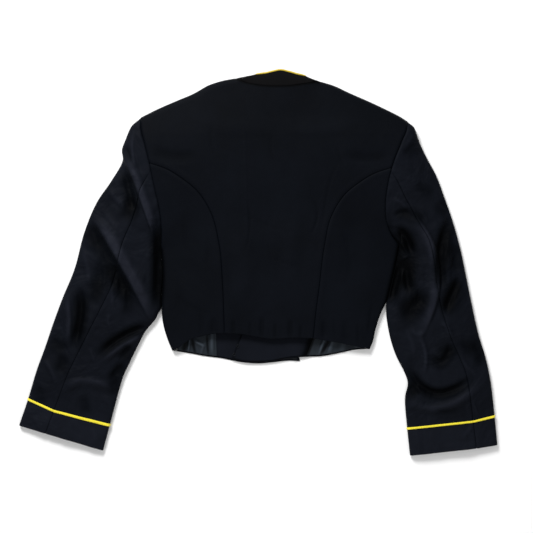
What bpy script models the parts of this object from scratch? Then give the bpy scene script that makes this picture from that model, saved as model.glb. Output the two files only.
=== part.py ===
"""Mess jacket laid face down on a flat surface and seen from its back.

Metres, +Z up. +Y runs from the hem to the collar and +X to the wearer's right. The origin is on the surface, below
the middle of the jacket's box. Every table below is in millimetres. The cloth is a thin wall throughout: the back and
the fronts are height fields that meet at a rolled edge along the sides and shoulders, and each sleeve is a flattened
tube worked out from sections between the armhole and the cuff.
"""

import bpy
import numpy as np

MM = 0.001
CLOTH = 1.6 * MM  # wool cloth with its interlining
LINER = 1.0 * MM  # facing and satin lining
COLLAR_CLOTH = 2.4 * MM  # two cloths and a felt between them
GAP = 0.3 * MM  # between neighbours at a seam
SIDE_EDGE = 5.0 * MM  # radius of the rolled edge at the sides and along the sleeves
SHOULDER_EDGE = 9.0 * MM  # radius over the padded shoulder
SLEEVE_CLEAR = 1.2 * MM  # between a sleeve and the side it lies against
LOWEST_TOP = 4.6 * MM  # the deepest hollow in the upper cloth stays above this
LAP_LIFT = 3.5 * MM  # how far the right front rides over the left one and its facing
LAP_RAMP = (3 * MM, 30 * MM)  # it comes down between these distances past the left front's edge
LINING_DEPTH = 105 * MM  # facing and lining reach this far up from the hem
BRAID_WIDE = 4.5 * MM
BRAID_THICK = 0.9 * MM
BRAID_LIFT = 1.4 * MM  # the sleeve's underside rises this much to let the braid pass
PIPING_RADIUS = 1.1 * MM
RING_WIRE = 0.5 * MM
TABLE_CENTRE = (0.5 * MM, 1.6 * MM)  # middle of the whole jacket in the plan tables; it goes to the origin

# Seam and edge lines in plan, each from hem to neck or from the sleeve's head down to the armpit.
PRINCESS = {
    "left": [(-60, -126), (-61, -89), (-63, -41), (-70, 37), (-83, 87), (-108, 127), (-133, 148), (-164, 167), (-194, 177)],
    "right": [(99, -135), (103, -96), (110, -41), (119, 30), (131, 82), (157, 123), (179, 141), (209, 159), (239, 169)],
}
ARMHOLE = {
    "left": [(-210, 260), (-209, 238), (-203, 214), (-194, 177), (-184, 129), (-177, 98), (-173, 62), (-174, 22)],
    "right": [(268, 253), (266, 238), (257, 216), (239, 169), (231, 133), (228, 102), (230, 76), (239, 50), (254, 30)],
}
SIDE = {
    "left": [(-154, -158), (-162, -139), (-171, -107), (-173, -68), (-171, -22), (-174, 22)],
    "right": [(201, -155), (206, -143), (211, -121), (220, -93), (231, -69), (238, -42), (246, -8), (254, 30)],
}
SHOULDER = {
    "left": [(-210, 260), (-182, 274), (-148, 289), (-115, 303), (-88, 318), (-63, 326), (-41, 330)],
    "right": [(268, 253), (257, 260), (230, 274), (198, 289), (166, 303), (133, 318), (113, 324)],
}
NECK = [(-41, 330), (-23, 323), (-5, 320), (16, 318), (40, 318), (61, 319), (85, 322), (113, 324)]
NECK_FRONT = {
    "left": [(-41, 330), (-36, 306), (-19, 274), (5, 256), (38, 250)],
    "right": [(113, 324), (108, 302), (93, 272), (71, 255), (42, 250)],
}
HEM_BACK = {
    "left": [(-154, -158), (-146, -154), (-122, -138), (-99, -131), (-80, -127), (-60, -126)],
    "middle": [(-60, -126), (-27, -128), (-4, -132), (25, -136), (59, -134), (99, -135)],
    "right": [(99, -135), (114, -138), (149, -144), (181, -151), (201, -155)],
}
HEM_FRONT = {
    "left": [(-154, -158), (-122, -163), (-94, -168), (-70, -171), (-27, -179), (0, -181), (25, -179), (58, -176), (75, -177)],
    "right": [(201, -155), (178, -156), (148, -162), (114, -168), (85, -169), (58, -171), (25, -177), (0, -179), (-27, -178), (-47, -173)],
}
FRONT_EDGE = {
    "left": [(75, -177), (68, -150), (58, -100), (44, -20), (38, 60), (37, 150), (38, 250)],
    "right": [(-47, -173), (-32, -137), (-4, -80), (24, -20), (41, 60), (42, 150), (42, 250)],
}

# Height of the back's middle over its rolled edges, by distance up from the hem.
BACK_RISE = [(-160, 6.5), (-60, 9.5), (40, 12), (140, 12.5), (230, 11), (290, 6), (330, 2)]

# Sleeve sections from the armhole to the cuff: share of the length, outer edge, elbow seam, inner edge, radius of the
# outer edge, and rise of the crown over the edges.
SLEEVE_COLUMNS = ("share", "outer_x", "outer_y", "seam_x", "seam_y", "inner_x", "inner_y", "edge", "rise")
SLEEVES = {
    "left": [
        (0.00, -210, 260, -193, 165, -173, 62, 9.0, 12),
        (0.06, -229, 235, -202, 147, -174, 35, 7.5, 14),
        (0.12, -244, 204, -211, 127, -175, 8, 6.5, 15),
        (0.17, -243, 183, -216, 105, -175, -14, 6.0, 15),
        (0.24, -263, 147, -226, 73, -176, -37, 5.5, 14),
        (0.32, -290, 107, -240, 41, -177, -60, 5.0, 13),
        (0.40, -311, 57, -249, 8, -178, -80, 5.0, 12),
        (0.50, -329, -10, -262, -41, -183, -100, 5.0, 11),
        (0.60, -351, -64, -284, -87, -203, -125, 5.0, 10),
        (0.68, -367, -107, -301, -120, -216, -150, 5.0, 9),
        (0.76, -383, -154, -320, -158, -230, -179, 5.0, 8),
        (0.84, -398, -195, -342, -203, -245, -214, 5.0, 7),
        (0.92, -413, -245, -366, -266, -266, -292, 4.5, 5),
        (1.00, -429, -292, -381, -306, -278, -337, 4.5, 4),
    ],
    "right": [
        (0.00, 268, 253, 238, 163, 230, 78, 9.0, 12),
        (0.07, 283, 231, 250, 143, 239, 55, 7.5, 14),
        (0.13, 293, 208, 262, 118, 252, 36, 6.5, 15),
        (0.20, 304, 186, 276, 92, 255, 14, 6.0, 15),
        (0.27, 320, 156, 290, 67, 248, -10, 5.5, 14),
        (0.35, 335, 116, 306, 38, 242, -34, 5.0, 13),
        (0.43, 349, 76, 315, 1, 236, -59, 5.0, 12),
        (0.51, 362, 30, 320, -38, 230, -86, 5.0, 11),
        (0.59, 373, -21, 328, -80, 236, -129, 5.0, 10),
        (0.67, 383, -71, 344, -131, 247, -165, 5.0, 9),
        (0.75, 396, -129, 362, -172, 263, -197, 5.0, 8),
        (0.82, 409, -172, 374, -204, 269, -219, 5.0, 7),
        (0.88, 418, -215, 380, -238, 264, -247, 5.0, 6),
        (0.94, 425, -276, 386, -285, 268, -298, 4.5, 5),
        (1.00, 430, -327, 392, -333, 273, -346, 4.5, 4),
    ],
}
NOTCH = {"left": -93, "right": -81}  # where the sleeve's inner edge leaves the jacket's side
UNDER_TURN = 24 * MM  # how far the under sleeve turns beneath the inner edge, up to the front seam
BRAID_SHARE = {"left": 0.92, "right": 0.94}

# Folds: start, middle and end in plan, height (a trough is below zero), and reach to the left and right of the line.
FOLD_COLUMNS = ("x0", "y0", "x1", "y1", "x2", "y2", "height", "left", "right")
BACK_FOLDS = [
    (-80, -96, -79, -112, -80, -132, -1.6, 7, 7),
    (-44, -100, -44, -116, -44, -132, -1.2, 7, 7),
    (7, -96, 7, -112, 7, -138, -1.2, 8, 8),
    (58, -100, 58, -118, 58, -138, -1.2, 8, 8),
    (119, -100, 119, -116, 119, -140, -1.8, 7, 7),
    (156, -100, 157, -120, 158, -148, -1.4, 8, 8),
]
SLEEVE_FOLDS = {
    "left": [
        (-238, 204, -208, 128, -186, 30, 5.0, 26, 14),
        (-239, 190, -216, 160, -199, 118, -4.0, 10, 10),
        (-180, 64, -178, -10, -184, -88, -5.0, 9, 9),
        (-300, 88, -246, 10, -194, -106, 5.0, 24, 16),
        (-322, -40, -326, -96, -330, -150, -3.5, 18, 18),
        (-188, -116, -240, -122, -296, -172, -5.0, 12, 16),
        (-346, -224, -300, -232, -254, -230, 3.0, 14, 12),
        (-309, -236, -308, -256, -306, -276, -2.0, 12, 12),
    ],
    "right": [
        (274, 200, 264, 130, 272, 70, 4.0, 12, 22),
        (252, 50, 262, 40, 268, 22, -7.0, 12, 12),
        (264, 10, 251, -36, 238, -76, -5.5, 11, 11),
        (284, 68, 322, 4, 290, -135, 5.0, 16, 22),
        (331, 52, 332, -24, 341, -104, -4.0, 14, 14),
        (258, -100, 262, -128, 282, -160, -3.5, 14, 14),
        (274, -194, 322, -222, 370, -226, -4.5, 10, 14),
        (322, -250, 378, -228, 411, -202, 3.5, 12, 14),
    ],
}

BLACK_WOOL = ("black wool", (0.011, 0.012, 0.016), 0.92, 0.0)
FACING_WOOL = ("facing wool", (0.014, 0.015, 0.019), 0.9, 0.0)
COLLAR_FELT = ("collar felt", (0.020, 0.019, 0.018), 0.95, 0.0)
GREY_SATIN = ("grey satin", (0.10, 0.12, 0.13), 0.35, 0.0)
YELLOW_BRAID = ("yellow braid", (0.95, 0.62, 0.02), 0.6, 0.0)
GOLD_CORD = ("gold cord", (0.72, 0.45, 0.02), 0.6, 0.0)
STEEL_WIRE = ("steel wire", (0.55, 0.55, 0.56), 0.35, 1.0)


# Clear the scene.
for old in list(bpy.data.objects):
    bpy.data.objects.remove(old)


def flow(at, places, values):
    """Cubic curve through values at places, read at the given places; its slopes come from the neighbours."""
    slopes = np.gradient(values, places, axis=0)
    at = np.asarray(at, float)
    low = np.clip(np.searchsorted(places, at, side="right") - 1, 0, len(places) - 2)
    step = places[low + 1] - places[low]
    t = (at - places[low]) / step
    if values.ndim > 1:
        t, step = t[..., None], step[..., None]
    return (
        (1 + 2 * t) * (1 - t) ** 2 * values[low]
        + t * (1 - t) ** 2 * step * slopes[low]
        + t * t * (3 - 2 * t) * values[low + 1]
        + t * t * (t - 1) * step * slopes[low + 1]
    )


def line_of(points, count=240):
    """Smooth plan line through a table's points, as evenly spaced places."""
    points = np.array(points, float) * MM
    run = np.concatenate([[0], np.cumsum(np.linalg.norm(np.diff(points, axis=0), axis=1))])
    fine = flow(np.linspace(0, run[-1], count), run, points)
    return at_shares(fine, np.linspace(0, 1, count))


def length_of(line):
    return np.linalg.norm(np.diff(line, axis=0), axis=1).sum()


def at_shares(line, shares):
    """Places on a line at shares of its length."""
    run = np.concatenate([[0], np.cumsum(np.linalg.norm(np.diff(line, axis=0), axis=1))])
    return np.stack([np.interp(np.asarray(shares) * run[-1], run, line[:, k]) for k in range(line.shape[1])], axis=-1)


def ramp(value, low, high):
    """Smooth step from 0 at low to 1 at high."""
    t = np.clip((value - low) / (high - low), 0, 1)
    return t * t * (3 - 2 * t)


def distance(places, line):
    """Plan distance from each place to a line."""
    start, along = line[:-1], np.diff(line, axis=0)
    offset = places[..., None, :] - start
    t = np.clip((offset * along).sum(-1) / (along * along).sum(-1), 0, 1)
    return np.linalg.norm(offset - t[..., None] * along, axis=-1).min(-1)


def rolled(gap, radius):
    """Upper half of an edge rolled at this radius: radius at the edge, twice that from one radius inwards."""
    inside = np.clip(radius - gap, 0, radius)
    return radius + np.sqrt(radius**2 - inside**2)


def tucked(gap, radius):
    """Lower half of the same edge: radius at the edge, 0 from one radius inwards."""
    inside = np.clip(radius - gap, 0, radius)
    return radius - np.sqrt(radius**2 - inside**2)


def fold_height(places, folds):
    """Height of the folds at each place: each is a soft ridge or trough along a curve through its three points."""
    total = np.zeros(places.shape[:-1])
    for row in folds:
        fold = dict(zip(FOLD_COLUMNS, row))
        ends = np.array([(fold["x0"], fold["y0"]), (fold["x1"], fold["y1"]), (fold["x2"], fold["y2"])]) * MM
        t = np.linspace(0, 1, 13)[:, None]
        spine = (1 - t) * (1 - 2 * t) * ends[0] + 4 * t * (1 - t) * ends[1] + t * (2 * t - 1) * ends[2]
        offset = places[..., None, :] - spine
        nearest = np.linalg.norm(offset, axis=-1).argmin(-1)
        run = np.gradient(spine, axis=0)[nearest]
        off = np.take_along_axis(offset, nearest[..., None, None], axis=-2)[..., 0, :]
        side = run[..., 0] * off[..., 1] - run[..., 1] * off[..., 0]
        reach = np.where(side > 0, fold["left"], fold["right"]) * MM
        across = np.clip(distance(places, spine) / reach, 0, 1)
        share = nearest / 12
        taper = ramp(share, -0.02, 0.3) * ramp(1 - share, -0.02, 0.3)
        total += fold["height"] * MM * (1 - across**2) ** 2 * taper
    return total


LINES = {}
for hand in ("left", "right"):
    LINES["princess", hand] = line_of(PRINCESS[hand])
    LINES["armhole", hand] = line_of(ARMHOLE[hand])
    LINES["side", hand] = line_of(SIDE[hand])
    LINES["shoulder", hand] = line_of(SHOULDER[hand])
    LINES["neck front", hand] = line_of(NECK_FRONT[hand])
    LINES["front edge", hand] = line_of(FRONT_EDGE[hand])
    LINES["hem front", hand] = line_of(HEM_FRONT[hand])
    LINES["hem back", hand] = line_of(HEM_BACK[hand])
LINES["neck"] = line_of(NECK)
LINES["hem back", "middle"] = line_of(HEM_BACK["middle"])


def edge_gaps(places):
    """Distances to the nearest side edge and to the nearest shoulder edge."""
    sides = np.minimum(distance(places, LINES["side", "left"]), distance(places, LINES["side", "right"]))
    shoulders = np.minimum(distance(places, LINES["shoulder", "left"]), distance(places, LINES["shoulder", "right"]))
    return sides, shoulders


def body_edge(places):
    """Radius of the rolled edge, growing from the side's to the shoulder's over the armhole."""
    return SIDE_EDGE + (SHOULDER_EDGE - SIDE_EDGE) * ramp(places[..., 1], 60 * MM, 220 * MM)


def back_height(places):
    """Outer face of the back over the floor."""
    sides, shoulders = edge_gaps(places)
    rise = np.interp(places[..., 1], *(np.array(BACK_RISE).T * MM))
    swell = (1 - np.exp(-sides / (42 * MM))) * (1 - np.exp(-shoulders / (30 * MM)))
    folds = fold_height(places, BACK_FOLDS) * ramp(sides, 0, 8 * MM)
    return rolled(np.minimum(sides, shoulders), body_edge(places)) + rise * swell + folds


def front_lift(places, hand):
    """The right front rides up where it laps over the left one."""
    if hand == "left":
        return np.zeros(places.shape[:-1])
    under = LINES["front edge", "left"]
    edge = np.interp(places[..., 1], under[:, 1], under[:, 0])
    over = 1 - ramp(places[..., 0], edge + LAP_RAMP[0], edge + LAP_RAMP[1])
    return LAP_LIFT * over * (1 - ramp(places[..., 1], 40 * MM, 95 * MM))


def front_height(places, hand):
    """Outer face of a front, which lies on the floor apart from the lap and the rolled edges."""
    return tucked(np.minimum(*edge_gaps(places)), body_edge(places)) + front_lift(places, hand)


def normals_of(skin):
    """Unit normals of a grid of points, from its neighbours."""
    down, across = np.gradient(skin, axis=0), np.gradient(skin, axis=1)
    normal = np.cross(down, across)
    return normal / np.linalg.norm(normal, axis=-1, keepdims=True)


def inward(line, neighbour):
    """Plan unit vectors across a border line, pointing to its neighbouring line."""
    run = np.gradient(line[:, :2], axis=0)
    across = np.stack([-run[:, 1], run[:, 0]], axis=-1)
    across /= np.linalg.norm(across, axis=-1, keepdims=True)
    return across * np.sign((across * (neighbour - line)[:, :2]).sum())


def seam(skin, normal, border, across):
    """Draws a border back by half the gap and squares its cut edge to the plan vectors across it."""
    skin[border][:, :2] += across * GAP / 2
    flat = np.concatenate([across, np.zeros((len(across), 1))], axis=1)
    cut = normal[border] - (normal[border] * flat).sum(-1, keepdims=True) * flat
    normal[border] = cut / np.linalg.norm(cut, axis=-1, keepdims=True)


def level(skin, normal, border, lift):
    """The same for a border that meets its neighbour above or below it."""
    skin[border][:, 2] += lift * GAP / 2
    cut = normal[border] * (1, 1, 0)
    normal[border] = cut / np.linalg.norm(cut, axis=-1, keepdims=True)


def solid(name, points, faces, finish):
    """One object from points and faces, turned so that its faces point out."""
    points = points - (*TABLE_CENTRE, 0)
    corners = np.array([(f[0], f[k], f[k + 1]) for f in faces for k in range(1, len(f) - 1)])
    if np.linalg.det(points[corners]).sum() < 0:
        faces = [f[::-1] for f in faces]
    mesh = bpy.data.meshes.new(name)
    mesh.from_pydata([tuple(p) for p in points], [], faces)
    mesh.shade_smooth()
    mesh.set_sharp_from_angle(angle=0.6)
    title, colour, rough, metal = finish
    paint = bpy.data.materials.get(title) or bpy.data.materials.new(title)
    paint.use_nodes = True
    shader = paint.node_tree.nodes["Principled BSDF"]
    shader.inputs["Base Color"].default_value = (*colour, 1)
    shader.inputs["Roughness"].default_value = rough
    shader.inputs["Metallic"].default_value = metal
    mesh.materials.append(paint)
    piece = bpy.data.objects.new(name, mesh)
    bpy.context.collection.objects.link(piece)
    return piece


def wall(name, skin, normal, thick, finish):
    """Closed wall between a grid of outer points and the same grid moved in along its normals."""
    rows, cols = skin.shape[:2]
    points = np.concatenate([skin.reshape(-1, 3), (skin - normal * thick).reshape(-1, 3)])
    at = np.arange(rows * cols).reshape(rows, cols)
    under = at + rows * cols
    faces = []
    for i in range(rows - 1):
        for j in range(cols - 1):
            faces.append((at[i, j], at[i, j + 1], at[i + 1, j + 1], at[i + 1, j]))
            faces.append((under[i, j], under[i + 1, j], under[i + 1, j + 1], under[i, j + 1]))
    rim = np.concatenate([at[0, :], at[1:, -1], at[-1, -2::-1], at[-2:0:-1, 0]])
    for a, b in zip(rim, np.roll(rim, -1)):
        faces.append((b, a, a + rows * cols, b + rows * cols))
    faces = [tuple(int(k) for k in f) for f in faces]
    return solid(name, points, faces, finish)


def loop_wall(name, sections, finish):
    """Closed ring of sections, such as a wire bent round until it meets itself."""
    rows, cols = sections.shape[:2]
    at = np.arange(rows * cols).reshape(rows, cols)
    faces = []
    for i in range(rows):
        for j in range(cols):
            k, m = (i + 1) % rows, (j + 1) % cols
            faces.append(tuple(int(v) for v in (at[i, j], at[i, m], at[k, m], at[k, j])))
    return solid(name, sections.reshape(-1, 3), faces, finish)


def rolled_steps(radius, length):
    """Shares of a length that sample its last radius as a quarter circle seen from above."""
    return [radius * c / length for c in (0.0, 0.14, 0.5, 1.0)]


def panel(left, right, bottom, top, bottom_pull, top_pull, shares):
    """Plan grid ruled between two side lines, bent towards the shapes of the bottom and top lines.

    A place is (1-u)*left + u*right + pull*(line(u) - chord(u)) for the bottom and the top line.
    """
    u = shares[..., None]
    grid = (1 - u) * left[:, None] + u * right[:, None]
    for line, pull in ((bottom, bottom_pull), (top, top_pull)):
        bend = line - ((1 - u) * line[0] + u * line[-1])
        grid = grid + pull[:, None, None] * bend
    return grid


# Points along each armhole, as distances from the shoulder. The back, the fronts and the sleeves all use them, so that
# their edges follow each other. A sleeve's first ring ends at PIT; from there down it lies beside the jacket.
ARM_LENGTH, MEET, ELBOW, PIT, ARM_RING, ARM_UPPER, ARM_LOWER = {}, {}, {}, {}, {}, {}, {}
for hand in ("left", "right"):
    arm = LINES["armhole", hand]
    length = length_of(arm)
    marks = [LINES["princess", hand][-1], np.array(SLEEVES[hand][0][3:5]) * MM, np.array(SLEEVES[hand][0][5:7]) * MM]
    nearest = [np.linalg.norm(arm - point, axis=1).argmin() for point in marks]
    MEET[hand], ELBOW[hand], PIT[hand] = (length * k / (len(arm) - 1) for k in nearest)
    ARM_LENGTH[hand] = length
    shoulder_end = [SHOULDER_EDGE * c for c in (0, 0.14, 0.5, 1)]
    pit_end = [PIT[hand] - SIDE_EDGE * c for c in (1, 0.5, 0.14, 0)]
    low_end = [*np.linspace(PIT[hand], length - SIDE_EDGE, 3)[1:], *(length - SIDE_EDGE * c for c in (0.4, 0))]
    ARM_RING[hand] = np.concatenate([
        shoulder_end,
        np.linspace(SHOULDER_EDGE, MEET[hand], 6)[1:],
        np.linspace(ELBOW[hand], pit_end[0], 7)[:-1],
        pit_end,
    ])
    ARM_UPPER[hand] = np.append(ARM_RING[hand], low_end)
    ARM_LOWER[hand] = np.concatenate([
        shoulder_end,
        np.linspace(SHOULDER_EDGE, PIT[hand] - UNDER_TURN, 4)[1:],
        pit_end,
        low_end,
    ])

# Rows of the side back: up the side to the armpit, then up the armhole to where the curved seam runs into it.
SIDE_ROWS = np.array([0, 0.1, 0.22, 0.36, 0.52, 0.68, 0.84, 1])
OUTER, SEAM_SHARES = {}, {}
for hand in ("left", "right"):
    knots = ARM_UPPER[hand][ARM_UPPER[hand] > MEET[hand] + 3 * MM][::-1]
    knots = np.append(knots[1:], MEET[hand] + 1.5 * MM) / ARM_LENGTH[hand]
    OUTER[hand] = np.concatenate([at_shares(LINES["side", hand], SIDE_ROWS), at_shares(LINES["armhole", hand], knots)])
    run = np.concatenate([[0], np.cumsum(np.linalg.norm(np.diff(OUTER[hand], axis=0), axis=1))])
    SEAM_SHARES[hand] = run / run[-1] * 0.992

# Centre back. Its left and right borders follow the curved seams up to the armholes, then the armholes up to the
# shoulders; its top follows the shoulders and the neck.
borders = {}
for hand in ("left", "right"):
    knots = ARM_UPPER[hand][ARM_UPPER[hand] < MEET[hand] - 1 * MM][::-1] / ARM_LENGTH[hand]
    seam_rows = np.append(SEAM_SHARES[hand][:-1], 1)
    borders[hand] = np.concatenate([
        at_shares(LINES["princess", hand], seam_rows),
        at_shares(LINES["armhole", hand], knots),
    ])
shoulder_shares = np.linspace(0, 1, 7)
top = np.concatenate([
    at_shares(LINES["shoulder", "left"], shoulder_shares),
    at_shares(LINES["neck"], np.linspace(0, 1, 9))[1:],
    at_shares(LINES["shoulder", "right"], 1 - shoulder_shares)[1:],
])
top_run = np.concatenate([[0], np.cumsum(np.linalg.norm(np.diff(top, axis=0), axis=1))])
u = top_run / top_run[-1]
run = np.concatenate([[0], np.cumsum(np.linalg.norm(np.diff(borders["left"], axis=0), axis=1))])
top_pull = np.clip(1 - (run[-1] - run) / 0.30, 0, 1) ** 2
bottom_pull = np.clip(1 - run / 0.12, 0, 1) ** 2
hem_line = at_shares(LINES["hem back", "middle"], u)
plan = panel(borders["left"], borders["right"], hem_line, top, bottom_pull, top_pull, np.tile(u, (len(run), 1)))
skin = np.dstack([plan, back_height(plan)])
normal = normals_of(skin)
normal *= np.sign(normal[:, :, 2].mean())
seam(skin, normal, np.s_[:, 0], inward(skin[:, 0], skin[:, 1]))
seam(skin, normal, np.s_[:, -1], inward(skin[:, -1], skin[:, -2]))
level(skin, normal, np.s_[-1, :7], 1)
level(skin, normal, np.s_[-1, 14:], 1)
seam(skin, normal, np.s_[-1, 6:15], inward(skin[-1, 6:15], skin[-2, 6:15]))
wall("back_centre", skin, normal, CLOTH, BLACK_WOOL)

# Side backs, from the hem up to the point where the curved seam runs into the armhole.
for hand in ("left", "right"):
    outer = OUTER[hand]
    inner = at_shares(LINES["princess", hand], SEAM_SHARES[hand])
    run = SEAM_SHARES[hand] * length_of(LINES["princess", hand])
    width = np.linalg.norm(inner - outer, axis=1)
    shares = np.tile(np.array([0, 0.1, 0.2, 0.3, 0.44, 0.58, 0.72, 0.86, 1.0]), (len(run), 1))
    for i in range(len(SIDE_ROWS)):
        first = np.array(rolled_steps(SIDE_EDGE, width[i]))
        shares[i] = np.concatenate([first, np.linspace(first[-1], 1, 6)[1:]])
    bottom_pull = np.clip(1 - run / 0.12, 0, 1) ** 2
    hem_line = at_shares(LINES["hem back", hand] if hand == "left" else LINES["hem back", hand][::-1], shares[0])
    plan = panel(outer, inner, hem_line, hem_line, bottom_pull, 0 * bottom_pull, shares)
    skin = np.dstack([plan, back_height(plan)])
    normal = normals_of(skin)
    normal *= np.sign(normal[:, :, 2].mean())
    across = inward(skin[:, 0], skin[:, 1])
    last = len(SIDE_ROWS) - 1
    level(skin, normal, np.s_[: last + 1, 0], 1)
    seam(skin, normal, np.s_[last:, 0], across[last:])
    seam(skin, normal, np.s_[:, -1], inward(skin[:, -1], skin[:, -2]))
    wall(f"back_side_{hand}", skin, normal, CLOTH, BLACK_WOOL)

# Fronts. They lie on the floor under the back and meet it at the middle of its rolled edges.
for hand in ("left", "right"):
    side_rows = np.array([0, 0.12, 0.25, 0.45, 0.65, 0.83, 1])
    knots = ARM_LOWER[hand][::-1][1:] / ARM_LENGTH[hand]
    outer = np.concatenate([at_shares(LINES["side", hand], side_rows), at_shares(LINES["armhole", hand], knots)])
    run = np.concatenate([[0], np.cumsum(np.linalg.norm(np.diff(outer, axis=0), axis=1))])
    edge = at_shares(LINES["front edge", hand], run / run[-1])
    neck_cols = 6 if hand == "left" else 10
    top = np.concatenate([
        at_shares(LINES["shoulder", hand], np.linspace(0, 1, 7)),
        at_shares(LINES["neck front", hand], np.linspace(0, 1, neck_cols + 1))[1:],
    ])
    top_run = np.concatenate([[0], np.cumsum(np.linalg.norm(np.diff(top, axis=0), axis=1))])
    width = np.linalg.norm(edge - outer, axis=1)
    lap_edge = np.interp(edge[:, 1], LINES["front edge", "left"][:, 1], LINES["front edge", "left"][:, 0])
    shares = np.tile(top_run / top_run[-1], (len(run), 1))
    for i in range(len(run)):
        row = np.array(rolled_steps(SIDE_EDGE, width[i]))
        if hand == "left":
            row = np.concatenate([row, np.linspace(row[-1], 1, 10)[1:]])
        else:
            lap = max(lap_edge[i] - edge[i, 0], 16 * MM)
            slope = 1 - (lap + np.linspace(LAP_RAMP[1], LAP_RAMP[0], 5)) / width[i]
            row = np.concatenate([row, np.linspace(row[-1], slope[0], 5)[1:-1], slope, np.linspace(slope[-1], 1, 6)[1:]])
        upper = ramp(outer[i, 1], 40 * MM, 150 * MM)
        shares[i] = shares[i] * upper + row * (1 - upper)
    hem_line = at_shares(LINES["hem front", hand], shares[0])
    bottom_pull = np.clip(1 - run / 0.10, 0, 1) ** 2
    top_pull = np.clip(1 - (run[-1] - run) / 0.24, 0, 1) ** 1.5
    plan = panel(outer, edge, hem_line, top, bottom_pull, top_pull, shares)
    skin = np.dstack([plan, front_height(plan, hand)])
    normal = normals_of(skin)
    normal *= -np.sign(normal[:, :, 2].mean())
    across = inward(skin[:, 0], skin[:, 1])
    last = len(side_rows) - 1
    level(skin, normal, np.s_[: last + 1, 0], -1)
    seam(skin, normal, np.s_[last:, 0], across[last:])
    level(skin, normal, np.s_[-1, :7], -1)
    seam(skin, normal, np.s_[-1, 6:], inward(skin[-1, 6:], skin[-2, 6:]))
    wall(f"front_{hand}", skin, normal, CLOTH, BLACK_WOOL)


# Facings and lining on the insides of the fronts, which show under the arched back hem. Each is ruled between a left
# and a right line that run up from the hem; the lining lies in soft waves.
def inside(name, hand, first, last, cols, waves, finish):
    """Sheet on the inside of a front between two plan lines given as (x, y) at the hem and at the top, in mm."""
    ends = [np.linspace(np.array(line[0]) * MM, np.array(line[1]) * MM, 6) for line in (first, last)]
    u = np.linspace(0, 1, cols)[:, None]
    plan = np.stack([(1 - u) * a + u * b for a, b in zip(*ends)])
    hem = LINES["hem front", hand]
    order = np.argsort(hem[:, 0])
    low = np.interp(plan[0, :, 0], hem[order, 0], hem[order, 1]) + 2.5 * MM
    fade = np.linspace(1, 0, 6)[:, None]
    chord = plan[0, :1, 1] + (plan[0, -1:, 1] - plan[0, :1, 1]) * np.linspace(0, 1, cols)
    plan[:, :, 1] += fade * (low - chord)
    height = front_lift(plan, hand) + CLOTH + LINER + 0.6 * MM
    wave = np.sin(np.linspace(0, waves * 2 * np.pi, cols)) ** 2 * np.linspace(1, 0.3, 6)[:, None]
    skin = np.dstack([plan, height + 2.2 * MM * wave * (waves > 0)])
    normal = normals_of(skin)
    normal *= np.sign(normal[:, :, 2].mean())
    return wall(name, skin, normal, LINER, finish)


top_y = -177 + LINING_DEPTH / MM
inside("facing_left", "left", [(-73.5, -168), (-76, top_y)], [(42, -174), (40, top_y)], 7, 0, FACING_WOOL)
inside("lining_left", "left", [(-146, -157), (-158, top_y)], [(-74.2, -168), (-76.7, top_y)], 13, 1.5, GREY_SATIN)
inside("facing_right", "right", [(-44, -172), (-6, top_y)], [(87, -168), (122, top_y)], 20, 0, FACING_WOOL)
inside("lining_right", "right", [(87.8, -168), (122.8, top_y)], [(188, -153), (208, top_y)], 13, 1.5, GREY_SATIN)
inside("corner_strip_left", "left", [(43.2, -174), (42.4, -152)], [(71, -175), (65, -152)], 4, 0, GREY_SATIN)


# Sleeves. A section runs in plan from the outer edge over the elbow seam to the inner edge; the first one follows the
# armhole. Its upper face is domed and folded, its lower face lies on the floor, and the two meet in rolled edges.
def table_column(table, name, at):
    rows = np.array(table, float)
    return flow(at, rows[:, 0], rows[:, SLEEVE_COLUMNS.index(name)] * MM)


def beside(hand, place):
    """How far a place is outside the armhole and the side, and the plan vector that leads away from them."""
    bound = np.concatenate([LINES["armhole", hand], LINES["side", hand][::-1][1:]])
    nearest = np.linalg.norm(bound - place, axis=1).argmin()
    along = bound[min(nearest + 3, len(bound) - 1)] - bound[max(nearest - 3, 0)]
    outwards = np.array([along[1], -along[0]]) * (1 if hand == "left" else -1)
    outwards /= np.linalg.norm(outwards)
    return (place - bound[nearest]) @ outwards, outwards


def sleeve_frame(hand, share):
    """Outer edge, elbow seam and inner edge of the section at a share of the sleeve's length."""
    outer, elbow, inner = (
        np.array([table_column(SLEEVES[hand], f"{part}_{axis}", share) for axis in "xy"])
        for part in ("outer", "seam", "inner")
    )
    if share > 0:
        off, outwards = beside(hand, inner)
        follow = ramp(inner[1], NOTCH[hand] * MM - 2 * MM, NOTCH[hand] * MM + 14 * MM)
        corner = np.exp(-(np.linalg.norm(inner - LINES["side", hand][-1]) / (14 * MM)) ** 2)
        room = SLEEVE_CLEAR * (1 + (1.5 if hand == "right" else 0.3) * corner)
        inner = inner + outwards * follow * (room * ramp(share, -0.01, 0.03) - off)
    return outer, elbow, inner


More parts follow.
